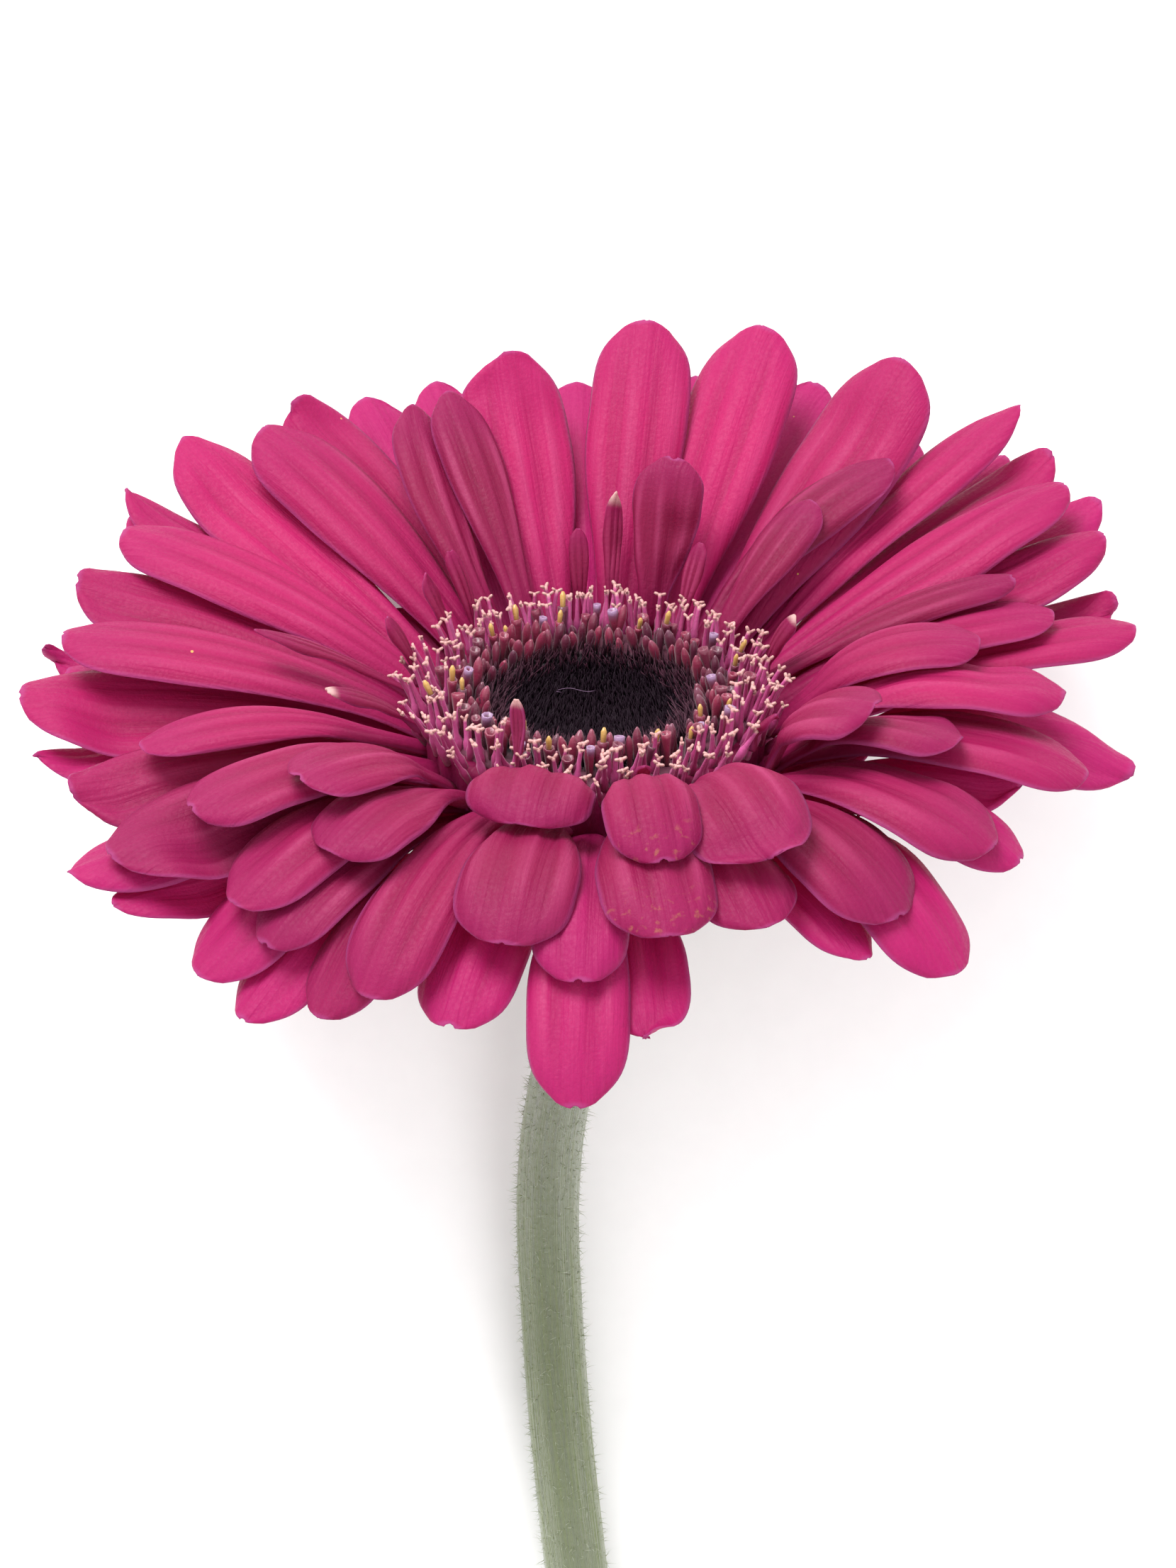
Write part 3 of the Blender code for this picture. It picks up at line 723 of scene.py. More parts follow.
class Wiring:
    """Short ways to add and join the nodes of one tree."""

    def __init__(self, tree):
        self.tree = tree

    def add(self, kind, inputs=None, **settings):
        """A new node with its settings and its inputs, which are values or other sockets."""
        made = self.tree.nodes.new(kind)
        for name, value in settings.items():
            setattr(made, name, value)
        for name, value in (inputs or {}).items():
            self.put(made.inputs[name], value)
        return made

    def put(self, socket, value):
        if isinstance(value, bpy.types.NodeSocket):
            self.tree.links.new(value, socket)
        else:
            socket.default_value = value

    def math(self, operation, a, b=0.0, c=0.0):
        return self.add("ShaderNodeMath", {0: a, 1: b, 2: c}, operation=operation).outputs[0]

    def times(self, a, *others):
        for b in others:
            a = self.math("MULTIPLY", a, b)
        return a

    def plus(self, a, b):
        return self.math("ADD", a, b)

    def less(self, a, b):
        return self.math("SUBTRACT", a, b)

    def vectors(self, operation, a, b):
        return self.add("ShaderNodeVectorMath", {0: a, 1: b}, operation=operation).outputs[0]

    def between(self, value, low, high, at_low=0.0, at_high=1.0):
        """The value carried smoothly from one range to another."""
        inputs = {"Value": value, "From Min": low, "From Max": high, "To Min": at_low, "To Max": at_high}
        made = self.add("ShaderNodeMapRange", inputs, interpolation_type="SMOOTHSTEP")
        return made.outputs["Result"]

    def painted(self, base, *coats):
        """A colour with others laid over it in turn, each as (its share, its colour)."""
        if not isinstance(base, bpy.types.NodeSocket):
            base = (*base, 1.0)
        for share, paint in coats:
            inputs = {0: share, 6: base, 7: (*paint, 1.0)}
            base = self.add("ShaderNodeMix", inputs, data_type="RGBA").outputs[2]
        return base

    def mark(self, name):
        """A number stored on the mesh."""
        return self.add("ShaderNodeAttribute", attribute_name=name).outputs["Fac"]

    def chance(self, given, step, kind="FLOAT", low=None):
        """A random value for each point, drawn with the tree's own seed moved on by the step."""
        seed = self.plus(given["Seed"], step)
        made = self.add("FunctionNodeRandomValue", {"Seed": seed}, data_type=kind)
        if low is not None:
            made.inputs[0].default_value = low
        return made


SOCKET_KINDS = {int: "NodeSocketInt", float: "NodeSocketFloat"}


def open_tree(name, kind, inputs, outputs):
    """A tree with named sockets: an input's kind comes from its default, or is given in its place."""
    tree = bpy.data.node_groups.new(name, kind)
    for label, value in inputs.items():
        plain = SOCKET_KINDS.get(type(value))
        socket = tree.interface.new_socket(label, in_out="INPUT", socket_type=plain or value)
        if plain:
            socket.default_value = value
    for label, value in outputs.items():
        tree.interface.new_socket(label, in_out="OUTPUT", socket_type=value)
    wiring = Wiring(tree)
    given = wiring.add("NodeGroupInput").outputs
    return tree, wiring, given, wiring.add("NodeGroupOutput").inputs


def shader_group(name, inputs, *outputs):
    return open_tree(name, "ShaderNodeTree", inputs, dict.fromkeys(outputs, "NodeSocketFloat"))


def growth_tree(name, inputs):
    inputs = {
        "Geometry": "NodeSocketGeometry",
        **inputs,
        "Spin": 1.0,
        "Seed": 1,
        "Shapes": "NodeSocketCollection",
        "Material": "NodeSocketMaterial",
    }
    return open_tree(name, "GeometryNodeTree", inputs, {"Geometry": "NodeSocketGeometry"})


def grain_group():
    """Fine uneven grain in the object's own space: a mask about one half, and the same as a height."""
    inputs = {"Size": 0.0004, "Roughness": 0.6}
    tree, wiring, given, result = shader_group("fine grain", inputs, "Mask", "Height")
    space = wiring.add("ShaderNodeTexCoord").outputs["Object"]
    scale = wiring.math("DIVIDE", 1.0, given["Size"])
    inputs = {"Vector": space, "Scale": scale, "Detail": 3.0, "Roughness": given["Roughness"]}
    noise = wiring.add("ShaderNodeTexNoise", inputs).outputs["Fac"]
    wiring.put(result["Mask"], wiring.between(noise, 0.3, 0.7))
    wiring.put(result["Height"], noise)
    return tree


def veins_group():
    """Long fine veins along a petal, leaf or stem, read from its own map, in centimetres."""
    inputs = {"Map": "NodeSocketVector", "Veins Per Centimetre": 16.0, "Length Share": 0.05}
    tree, wiring, given, result = shader_group("long veins", inputs, "Mask", "Bands")
    inputs = {"X": 1.0, "Y": given["Length Share"], "Z": 1.0}
    stretch = wiring.add("ShaderNodeCombineXYZ", inputs).outputs[0]
    place = wiring.vectors("MULTIPLY", given["Map"], stretch)
    dense = given["Veins Per Centimetre"]
    fine = wiring.add("ShaderNodeTexNoise", {"Vector": place, "Scale": dense, "Detail": 3.0})
    sparse = wiring.times(dense, 0.28)
    broad = wiring.add("ShaderNodeTexNoise", {"Vector": place, "Scale": sparse, "Detail": 1.0})
    wiring.put(result["Mask"], wiring.between(fine.outputs["Fac"], 0.3, 0.7))
    wiring.put(result["Bands"], wiring.between(broad.outputs["Fac"], 0.35, 0.68))
    return tree


def speck_group():
    """Scattered small grains, such as pollen: a mask that is 1 on each grain."""
    inputs = {"Spacing": 0.004, "Grain Share": 0.06, "Kept": 0.2}
    tree, wiring, given, result = shader_group("scattered grains", inputs, "Mask")
    space = wiring.add("ShaderNodeTexCoord").outputs["Object"]
    scale = wiring.math("DIVIDE", 1.0, given["Spacing"])
    cells = wiring.add("ShaderNodeTexVoronoi", {"Vector": space, "Scale": scale, "Randomness": 1.0})
    near = wiring.math("LESS_THAN", cells.outputs["Distance"], given["Grain Share"])
    draw = wiring.add("ShaderNodeSeparateColor", {"Color": cells.outputs["Color"]})
    kept = wiring.math("LESS_THAN", draw.outputs[0], given["Kept"])
    wiring.put(result["Mask"], wiring.times(near, kept))
    return tree


TREES = {}


def shared(maker):
    """The tree that this function makes, built the first time."""
    if maker.__name__ not in TREES:
        TREES[maker.__name__] = maker()
    return TREES[maker.__name__]


def group(wiring, maker, inputs):
    """The outputs of a node that holds the shared group."""
    made = wiring.add("ShaderNodeGroup", node_tree=shared(maker))
    for name, value in inputs.items():
        wiring.put(made.inputs[name], value)
    return made.outputs


def new_material(name, **sockets):
    """A material with one Principled shader; returns it, its wiring and the shader."""
    made = bpy.data.materials.new(name)
    made.use_nodes = True
    shader = made.node_tree.nodes["Principled BSDF"]
    for label, value in sockets.items():
        shader.inputs[label.replace("_", " ")].default_value = value
    return made, Wiring(made.node_tree), shader


def surfaced(wiring, shader, base, roughness, height=None, distance=0.0, strength=1.0):
    """Joins a colour, a roughness and a bump height to the shader."""
    wiring.put(shader.inputs["Base Color"], base)
    wiring.put(shader.inputs["Roughness"], roughness)
    if height is not None:
        inputs = {"Height": height, "Distance": distance, "Strength": strength}
        wiring.put(shader.inputs["Normal"], wiring.add("ShaderNodeBump", inputs).outputs["Normal"])


PALE_TIP = (0.55, 0.36, 0.34)
BLEMISH = (0.36, 0.14, 0.07)
POLLEN_DUST = (0.62, 0.36, 0.12)


def petal_material(name, look, deep, bright):
    """Velvety petal: deep at the claw, pale along the ribs with a painted highlight, painted shade in the
    grooves, veined, with a purplish pale rim.
    """
    made, wiring, shader = new_material(
        name,
        Specular_IOR_Level=0.16,
        Sheen_Weight=0.02,
        Sheen_Roughness=0.4,
        Sheen_Tint=(1.0, 0.72, 0.86, 1.0),
    )
    place = wiring.add("ShaderNodeUVMap", uv_map="along_petal").outputs["UV"]
    inputs = {"Map": place, "Veins Per Centimetre": 20.0, "Length Share": 0.035}
    veins = group(wiring, veins_group, inputs)
    grain = group(wiring, grain_group, {"Size": 0.00035})
    pollen = group(wiring, speck_group, {"Spacing": 0.0042, "Grain Share": 0.035, "Kept": 0.22})
    along = wiring.mark("along")
    rib = wiring.mark("rib")
    kind = wiring.mark("kind")
    between = wiring.between
    times = wiring.times
    # The pale band along the ribs, strongest mid-petal: partly pale pink, partly a painted highlight.
    rib_pale_and_highlight = times(
        between(rib, -0.1, 1.0),
        between(veins["Bands"], 0.0, 1.0, 0.25, 1.0),
        times(between(along, 0.22, 0.5, 0.35, 1.0), between(along, 0.95, 0.7, 0.2, 1.0)),
    )
    inputs = {"Vector": place, "Scale": 13.0, "Detail": 5.0}
    patch = wiring.add("ShaderNodeTexNoise", inputs).outputs["Fac"]
    # Kind is 0 on a plain petal, about one half on a blemished one and 1 on one with a pale tip.
    blemished = times(
        between(kind, 0.2, 0.5),
        between(kind, 0.75, 0.55),
        between(along, 0.76, 0.93),
        between(patch, 0.55, 0.72, 0.0, 0.5),
    )
    base = wiring.painted(
        deep,
        # The tint mark carries each petal's random tone, with painted light behind the disc and painted
        # shade in front.
        (between(wiring.mark("tint"), 0.0, 1.0), bright),
        (between(along, 0.5, 0.05, 0.0, 0.35), look.claw_colour),
        (between(along, 0.62, 1.0, 0.0, 0.4), look.far_colour),
        (times(rib_pale_and_highlight, look.rib_pale_and_highlight_strength), look.pale_and_highlight_colour),
        # Painted shade: the grooves between the ribs darker.
        (between(rib, 0.1, -0.8, 0.0, 0.25), look.deep_and_groove_shade_colour),
        (times(veins["Mask"], 0.10), look.pale_and_highlight_colour),
        (times(grain["Mask"], 0.10), look.deep_and_groove_shade_colour),
        (between(wiring.mark("rim"), 0.72, 0.98, 0.0, look.rim_strength), look.rim_colour),
        (times(wiring.mark("under"), 0.35), look.pale_and_highlight_colour),
        (times(between(kind, 0.6, 1.0), between(along, 0.88, 1.0)), PALE_TIP),
        (blemished, BLEMISH),
        (pollen["Mask"], POLLEN_DUST),
    )
    height = wiring.plus(times(veins["Mask"], 0.7), grain["Height"])
    surfaced(wiring, shader, base, between(grain["Mask"], 0.0, 1.0, 0.46, 0.62), height, 0.00009, 0.8)
    # Light that comes through the petal from behind, in a redder colour.
    glow = wiring.painted(base, (0.5, look.glow_colour))
    let_through = wiring.add("ShaderNodeBsdfTranslucent", {"Color": glow}).outputs[0]
    inputs = {0: look.see_through, 1: shader.outputs[0], 2: let_through}
    mixed = wiring.add("ShaderNodeMixShader", inputs).outputs[0]
    wiring.put(made.node_tree.nodes["Material Output"].inputs["Surface"], mixed)
    return made


def small_floret_material(name, dark, light, tip, pollen, roughness, coat):
    """Tiny florets: body colour varied from one to the next, paler or darker tips, yellow pollen."""
    made, wiring, shader = new_material(name, Coat_Weight=coat, Coat_Roughness=0.25, Sheen_Weight=0.15)
    grain = group(wiring, grain_group, {"Size": 0.0003})
    base = wiring.painted(
        dark,
        (wiring.between(wiring.mark("tint"), 0.0, 1.0), light),
        (wiring.times(grain["Mask"], 0.25), dark),
        (wiring.between(wiring.mark("tip"), 0.25, 0.85), tip),
        (wiring.mark("pollen"), pollen),
    )
    rough = wiring.between(grain["Mask"], 0.0, 1.0, roughness - 0.08, roughness + 0.08)
    surfaced(wiring, shader, base, rough, grain["Height"], 0.00005)
    return made


def green_material(name, dark, pale, streak, sheen):
    """Hairy green of the stem and the bracts, streaked along, paler where it is young."""
    made, wiring, shader = new_material(name, Sheen_Weight=sheen, Sheen_Roughness=0.6)
    place = wiring.add("ShaderNodeUVMap", uv_map="along_petal").outputs["UV"]
    inputs = {"Map": place, "Veins Per Centimetre": 14.0, "Length Share": 0.06}
    veins = group(wiring, veins_group, inputs)
    grain = group(wiring, grain_group, {"Size": 0.0005, "Roughness": 0.7})
    base = wiring.painted(
        dark,
        (wiring.mark("young"), pale),
        (wiring.times(veins["Bands"], 0.35), streak),
        (wiring.times(grain["Mask"], 0.3), dark),
    )
    height = wiring.plus(veins["Mask"], grain["Height"])
    surfaced(wiring, shader, base, wiring.between(grain["Mask"], 0.0, 1.0, 0.6, 0.8), height, 0.00012)
    return made


def hair_material(name, root, tip, gloss=0.4):
    """Fine hairs, from the root's colour to the tip's, flecked with the root's."""
    made, wiring, shader = new_material(name, Specular_IOR_Level=gloss)
    grain = group(wiring, grain_group, {"Size": 0.0012})
    base = wiring.painted(root, (wiring.mark("tip"), tip), (wiring.times(grain["Mask"], 0.3), root))
    surfaced(wiring, shader, base, wiring.between(grain["Mask"], 0.0, 1.0, 0.5, 0.75))
    return made


def set_in_place(wiring, points, given, turn, smallest, largest, result):
    """The end that both trees share: a shape on each point, spun, tinted and made real."""
    size = wiring.chance(given, 5.0)
    wiring.put(size.inputs[2], given[smallest])
    wiring.put(size.inputs[3], given[largest])
    choice = wiring.add("FunctionNodeRandomValue", {"Seed": given["Seed"]}, data_type="INT")
    choice.inputs[4].default_value = 0
    choice.inputs[5].default_value = 1000
    shapes = wiring.add("GeometryNodeCollectionInfo", {"Collection": given["Shapes"]})
    shapes.inputs["Separate Children"].default_value = True
    shapes.inputs["Reset Children"].default_value = True
    inputs = {
        "Points": points,
        "Instance": shapes.outputs[0],
        "Pick Instance": True,
        "Instance Index": choice.outputs[2],
        "Rotation": turn,
        "Scale": size.outputs[1],
    }
    placed = wiring.add("GeometryNodeInstanceOnPoints", inputs).outputs[0]
    spin = wiring.chance(given, 7.0)
    spin.inputs[3].default_value = math.tau
    spin = wiring.times(spin.outputs[1], given["Spin"])
    inputs = {"Instances": placed, "Rotation": wiring.add("ShaderNodeCombineXYZ", {"Z": spin}).outputs[0]}
    spun = wiring.add("GeometryNodeRotateInstances", inputs).outputs[0]
    inputs = {"Geometry": spun, "Name": "tint"}
    kind = {"data_type": "FLOAT", "domain": "INSTANCE"}
    tinted = wiring.add("GeometryNodeStoreNamedAttribute", inputs, **kind)
    wiring.put(tinted.inputs["Value"], wiring.chance(given, 13.0).outputs[1])
    real = wiring.add("GeometryNodeRealizeInstances", {"Geometry": tinted.outputs[0]}).outputs[0]
    inputs = {"Geometry": real, "Material": given["Material"]}
    wiring.put(result["Geometry"], wiring.add("GeometryNodeSetMaterial", inputs).outputs[0])


GOLDEN_TURN = math.radians(137.508)
ALL_BACK = (-1.0, -1.0, -1.0)


def spiral_tree():
    """Shapes set on a disc in the spiral of a flower head, at the golden turn from one to the next."""
    inputs = {
        "Count": 100,
        "Inner Radius": 10.0,
        "Outer Radius": 17.0,
        "Inner Height": -4.0,
        "Outer Height": -4.0,
        "Height Bend": 1.0,
        "Inner Lean": 0.0,
        "Outer Lean": 0.3,
        "Stray": 0.3,
        "Smallest": 0.8,
        "Largest": 1.1,
    }
    tree, wiring, given, result = growth_tree("spiral of florets", inputs)
    math_node, times, plus, less = wiring.math, wiring.times, wiring.plus, wiring.less
    points = wiring.add("GeometryNodePoints", {"Count": given["Count"]})
    index = wiring.add("GeometryNodeInputIndex").outputs[0]
    share = math_node("DIVIDE", plus(index, 0.5), given["Count"])
    inner = math_node("POWER", given["Inner Radius"], 2.0)
    outer = math_node("POWER", given["Outer Radius"], 2.0)
    radius = math_node("SQRT", math_node("MULTIPLY_ADD", share, less(outer, inner), inner))
    stray = wiring.chance(given, 3.0, "FLOAT_VECTOR", ALL_BACK)
    stray = wiring.vectors("MULTIPLY", stray.outputs[0], given["Stray"])
    stray = wiring.add("ShaderNodeSeparateXYZ", {0: stray}).outputs
    angle = plus(times(index, GOLDEN_TURN), times(stray[0], 0.08))
    radius = plus(radius, times(stray[1], 0.6))
    span = less(given["Outer Radius"], given["Inner Radius"])
    across = math_node("DIVIDE", less(radius, given["Inner Radius"]), span)
    across = math_node("MINIMUM", math_node("MAXIMUM", across, 0.0), 1.0)
    bent = math_node("POWER", across, given["Height Bend"])
    rise = less(given["Outer Height"], given["Inner Height"])
    height = math_node("MULTIPLY_ADD", bent, rise, given["Inner Height"])
    height = plus(height, times(stray[2], 0.8))
    x = times(radius, math_node("COSINE", angle))
    y = times(radius, math_node("SINE", angle))
    spot = wiring.add("ShaderNodeCombineXYZ", {"X": x, "Y": y, "Z": height}).outputs[0]
    inputs = {"Geometry": points.outputs[0], "Position": spot}
    moved = wiring.add("GeometryNodeSetPosition", inputs).outputs[0]
    lean = less(given["Outer Lean"], given["Inner Lean"])
    lean = math_node("MULTIPLY_ADD", across, lean, given["Inner Lean"])
    lean = plus(lean, times(stray[0], 0.5))
    inputs = {"X": times(stray[1], 0.5), "Y": lean, "Z": angle}
    turn = wiring.add("ShaderNodeCombineXYZ", inputs).outputs[0]
    set_in_place(wiring, moved, given, turn, "Smallest", "Largest", result)
    return tree


def hair_tree():
    """Hairs standing on a surface, thick where its young attribute is high, leaning at random."""
    inputs = {"Density": 2.0, "Lean": 0.6, "Shortest": 0.5, "Longest": 1.0}
    tree, wiring, given, result = growth_tree("hairs on a skin", inputs)
    young = wiring.add("GeometryNodeInputNamedAttribute", {"Name": "young"}, data_type="FLOAT")
    share = wiring.math("MULTIPLY_ADD", young.outputs[0], 0.75, 0.25)
    density = wiring.times(share, given["Density"])
    inputs = {"Mesh": given["Geometry"], "Density": density, "Seed": given["Seed"]}
    spread = wiring.add("GeometryNodeDistributePointsOnFaces", inputs).outputs
    stray = wiring.chance(given, 3.0, "FLOAT_VECTOR", ALL_BACK).outputs[0]
    way = wiring.vectors("ADD", spread["Normal"], wiring.vectors("MULTIPLY", stray, given["Lean"]))
    turn = wiring.add("FunctionNodeAlignRotationToVector", {"Vector": way}, axis="Z").outputs[0]
    set_in_place(wiring, spread[0], given, turn, "Shortest", "Longest", result)
    return tree


def grown(name, maker, shapes, material, place, values, ground=None):
    """The plain mesh that a geometry tree grows from small shapes, as an object at the origin."""
    tree = shared(maker)
    ground = bpy.data.objects.new("ground", ground or bpy.data.meshes.new("ground"))
    bpy.context.scene.collection.objects.link(ground)
    growth = ground.modifiers.new("growth", "NODES")
    growth.node_group = tree
    items = tree.interface.items_tree
    sockets = {item.name: item.identifier for item in items if item.in_out == "INPUT"}
    values = {**values, "Shapes": shape_collection(name, shapes), "Material": material}
    for label, value in values.items():
        growth[sockets[label]] = value
    graph = bpy.context.evaluated_depsgraph_get()
    result = bpy.data.meshes.new_from_object(ground.evaluated_get(graph))
    ground.modifiers.clear()
    bpy.data.objects.remove(ground)
    result.name = name
    result.transform(place)
    return in_scene(name, result)


def set_out(
    name, shapes, material, count, radii, heights, leans, stray, sizes, seed, bend=1.0, spin=1.0
):
    """Small shapes set out in a spiral on the head; each pair is at its inner and its outer edge."""
    values = {
        "Count": count,
        "Inner Radius": radii[0],
        "Outer Radius": radii[1],
        "Inner Height": heights[0],
        "Outer Height": heights[1],
        "Height Bend": bend,
        "Inner Lean": leans[0],
        "Outer Lean": leans[1],
        "Stray": stray,
        "Smallest": sizes[0],
        "Largest": sizes[1],
        "Spin": spin,
        "Seed": seed,
    }
    return grown(name, spiral_tree, shapes, material, HEAD, values)


def shape_collection(name, shapes):
    """A collection of small shapes for the trees to set out. It is kept out of the scene."""
    made = bpy.data.collections.new(name)
    for number, (points, faces, marks) in enumerate(shapes):
        mesh = shell(f"{name}_{number}", points, faces, marks)
        face_outwards(mesh)
        mesh.shade_smooth()
        made.objects.link(bpy.data.objects.new(mesh.name, mesh))
    return made


def tube_shape(rings, sides, bend=0.0, swell=0.0):
    """A small closed tube of (radius, height, tip, pollen) rings, bent a little to one side."""
    points = []
    top = max(ring[1] for ring in rings)
    for radius, height, *_ in rings:
        sideways = bend * (height / top) ** 2
        for k in range(sides):
            angle = math.tau * k / sides
            out = radius * (1.0 + swell * math.cos(5.0 * angle))
            points.append((out * math.cos(angle) + sideways, out * math.sin(angle), height))
    last = (len(rings) - 1) * sides
    ends = [tuple(range(sides - 1, -1, -1)), tuple(range(last, last + sides))]
    marks = {"tip": [ring[2] for ring in rings for _ in range(sides)]}
    marks["pollen"] = [ring[3] for ring in rings for _ in range(sides)]
    return points, tube_faces(len(rings), sides) + ends, marks


def merged_shapes(shapes):
    """Several small shapes as one."""
    points = []
    faces = []
    marks = {"tip": [], "pollen": []}
    for more_points, more_faces, more_marks in shapes:
        first = len(points)
        points += list(more_points)
        faces += [tuple(first + index for index in face) for face in more_faces]
        for label in marks:
            marks[label] += list(more_marks[label])
    return points, faces, marks


def limb(start, end, thick, thin):
    """A four-sided arm of a stigma from one point to another."""
    start = Vector(start)
    end = Vector(end)
    way = (end - start).normalized()
    side = way.orthogonal().normalized()
    other = way.cross(side)
    points = []
    for centre, radius in ((start, thick), (start.lerp(end, 0.6), thick * 1.15), (end, thin)):
        for k in range(4):
            angle = math.tau * k / 4.0
            points.append(centre + (side * math.cos(angle) + other * math.sin(angle)) * radius)
    faces = [(3, 2, 1, 0), (8, 9, 10, 11)] + tube_faces(3, 4)
    return points, faces, {"tip": [1.0] * 12, "pollen": [0.0] * 12}


def style_shape(height, spread, open_angle):
    """A disc floret in bloom: a pink tube, a thinner style and a stigma forked in two."""
    tube = (
        (0.34, 0.0, 0.0, 0.0),
        (0.40, height * 0.42, 0.0, 0.0),
        (0.25, height * 0.52, 0.0, 0.0),
        (0.19, height * 0.9, 0.25, 0.0),
        (0.24, height, 0.9, 0.0),
    )
    arms = []
    for hand in (-1.0, 1.0):
        end = (hand * spread, hand * open_angle * 0.12, height + spread * (1.2 - open_angle))
        arms.append(limb((hand * 0.06, 0.0, height - 0.12), end, 0.15, 0.12))
    return merged_shapes([tube_shape(tube, 6)] + arms)


def bud_shape(height, radius, tip, point=0.3):
    """A closed disc floret: a fat five-cornered bud."""
    rings = (
        (radius * 0.62, 0.0, 0.0, 0.0),
        (radius * 0.78, height * 0.35, 0.0, 0.0),
        (radius, height * 0.66, tip * 0.3, 0.0),
        (radius * 0.80, height * 0.83, tip * 0.7, 0.0),
        (radius * 0.42, height * 0.95, tip, 0.0),
        (radius * point * 0.5, height, tip, 0.0),
    )
    return tube_shape(rings, 7, swell=0.06)


def mouth_shape(height, radius, lip, anther):
    """An opening disc floret: a tube with a turned lip, with or without a yellow anther column."""
    rings = (
        (radius * 0.55, 0.0, 0.0, 0.0),
        (radius * 0.7, height * 0.5, 0.0, 0.0),
        (radius, height * 0.86, lip * 0.6, 0.0),
        (radius * 1.08, height, lip, 0.0),
        (radius * 0.80, height * 1.01, lip, 0.0),
        (radius * 0.5, height * 0.82, 0.0, 0.0),
    )
    shapes = [tube_shape(rings, 7, swell=0.1)]
    if anther:
        column = (
            (0.24, height * 0.6, 0.0, 0.3),
            (0.27, height * 1.1, 0.0, 0.8),
            (0.30, height * 1.3, 0.0, 1.0),
            (0.12, height * 1.42, 0.0, 1.0),
        )
        shapes.append(tube_shape(column, 5))
    return merged_shapes(shapes)


def bristle_shape(length, radius, bend):
    """A bristle: a thin three-sided spike, bent."""
    rings = (
        (radius, 0.0, 0.0, 0.0),
        (radius * 0.75, length * 0.55, 0.5, 0.0),
        (radius * 0.2, length, 1.0, 0.0),
    )
    return tube_shape(rings, 3, bend)


def thread_shape():
    """The fine thread that lies on the heart: a hooked end, then a slight wave."""
    route = [Vector((-3.0, 2.1, -2.7)), Vector((-3.5, 2.1, -2.6))]
    route += [Vector((0.36 * k - 3.3, 2.6 + 0.35 * math.sin(0.6 * k), -2.7)) for k in range(11)]
    last = len(route) - 1
    points = []
    for k, centre in enumerate(route):
        thick = 0.012 if k in (0, last) else 0.03
        for y, z in ((1, 0), (0, 1), (-1, 0), (0, -1)):
            points.append(centre + Vector((0.0, y * thick, z * thick)))
    end = 4 * last
    faces = [(3, 2, 1, 0), (end, end + 1, end + 2, end + 3)] + tube_faces(len(route), 4)
    return points, faces, {"tip": [0.6] * len(points)}


def bract_shape(length, width):
    """A pointed green bract, standing up and curling out at its tip."""
    rows = 7
    points = []
    youth = []
    for layer in (0.16, -0.16):
        for i in range(rows):
            s = i / (rows - 1)
            half = width / 2.0 * (0.75 + 0.25 * s - s**3.5)
            for j in (-1.0, 0.0, 1.0):
                thick = layer * (1.0 - 0.6 * abs(j))
                out = 2.2 * s * s + thick - 0.35 * abs(j) * half
                points.append((out, j * max(half, 0.12), length * s))
                youth.append(0.25 + 0.35 * abs(j) + 0.3 * s)
    return points, skin_faces(rows, 3), {"young": youth}


def stem_route():
    """The stem's mid-line in millimetres: out of the neck, down to the table, to the cut end."""
    lean = math.radians(HEAD_LEAN)
    axis = Vector((0.0, math.sin(lean), math.cos(lean)))
    neck = Vector((0.0, 0.0, HEAD_HEIGHT)) - axis * (NECK_DEPTH + FIT_GAP)
    fall = neck.z - STEM_RADIUS
    slope = math.radians(90.0 - HEAD_LEAN)
    bend_radius = fall / (1.0 - math.cos(slope))
    run = bend_radius * math.sin(slope)
    route = []
    for k in range(9):
        angle = slope * (1.0 - k / 8.0)
        y = neck.y - run + bend_radius * math.sin(angle)
        z = STEM_RADIUS + bend_radius * (1.0 - math.cos(angle))
        route.append(Vector((0.0, y, z)))
    landing = route[-1].y
    for k in range(1, 21):
        route.append(Vector((0.0, landing - STEM_LENGTH_ON_TABLE * k / 20.0, STEM_RADIUS)))
    return [Vector((stem_sway(neck.y - p.y), p.y, p.z)) for p in route]


def stem_sway(distance):
    """How far the stem strays sideways at this distance from the neck: left of the axis, then right."""
    near = -4.6 * smoothstep(distance / 34.0)
    far = 13.0 * smoothstep((distance - 30.0) / 130.0)
    return near + far


def stem_place():
    """The matrix that carries the stem's millimetres, above the table, to the CAD frame."""
    foot = HEAD.translation - Vector((0.0, 0.0, HEAD_HEIGHT * MM))
    return Matrix.Translation(foot) @ Matrix.Scale(MM, 4)


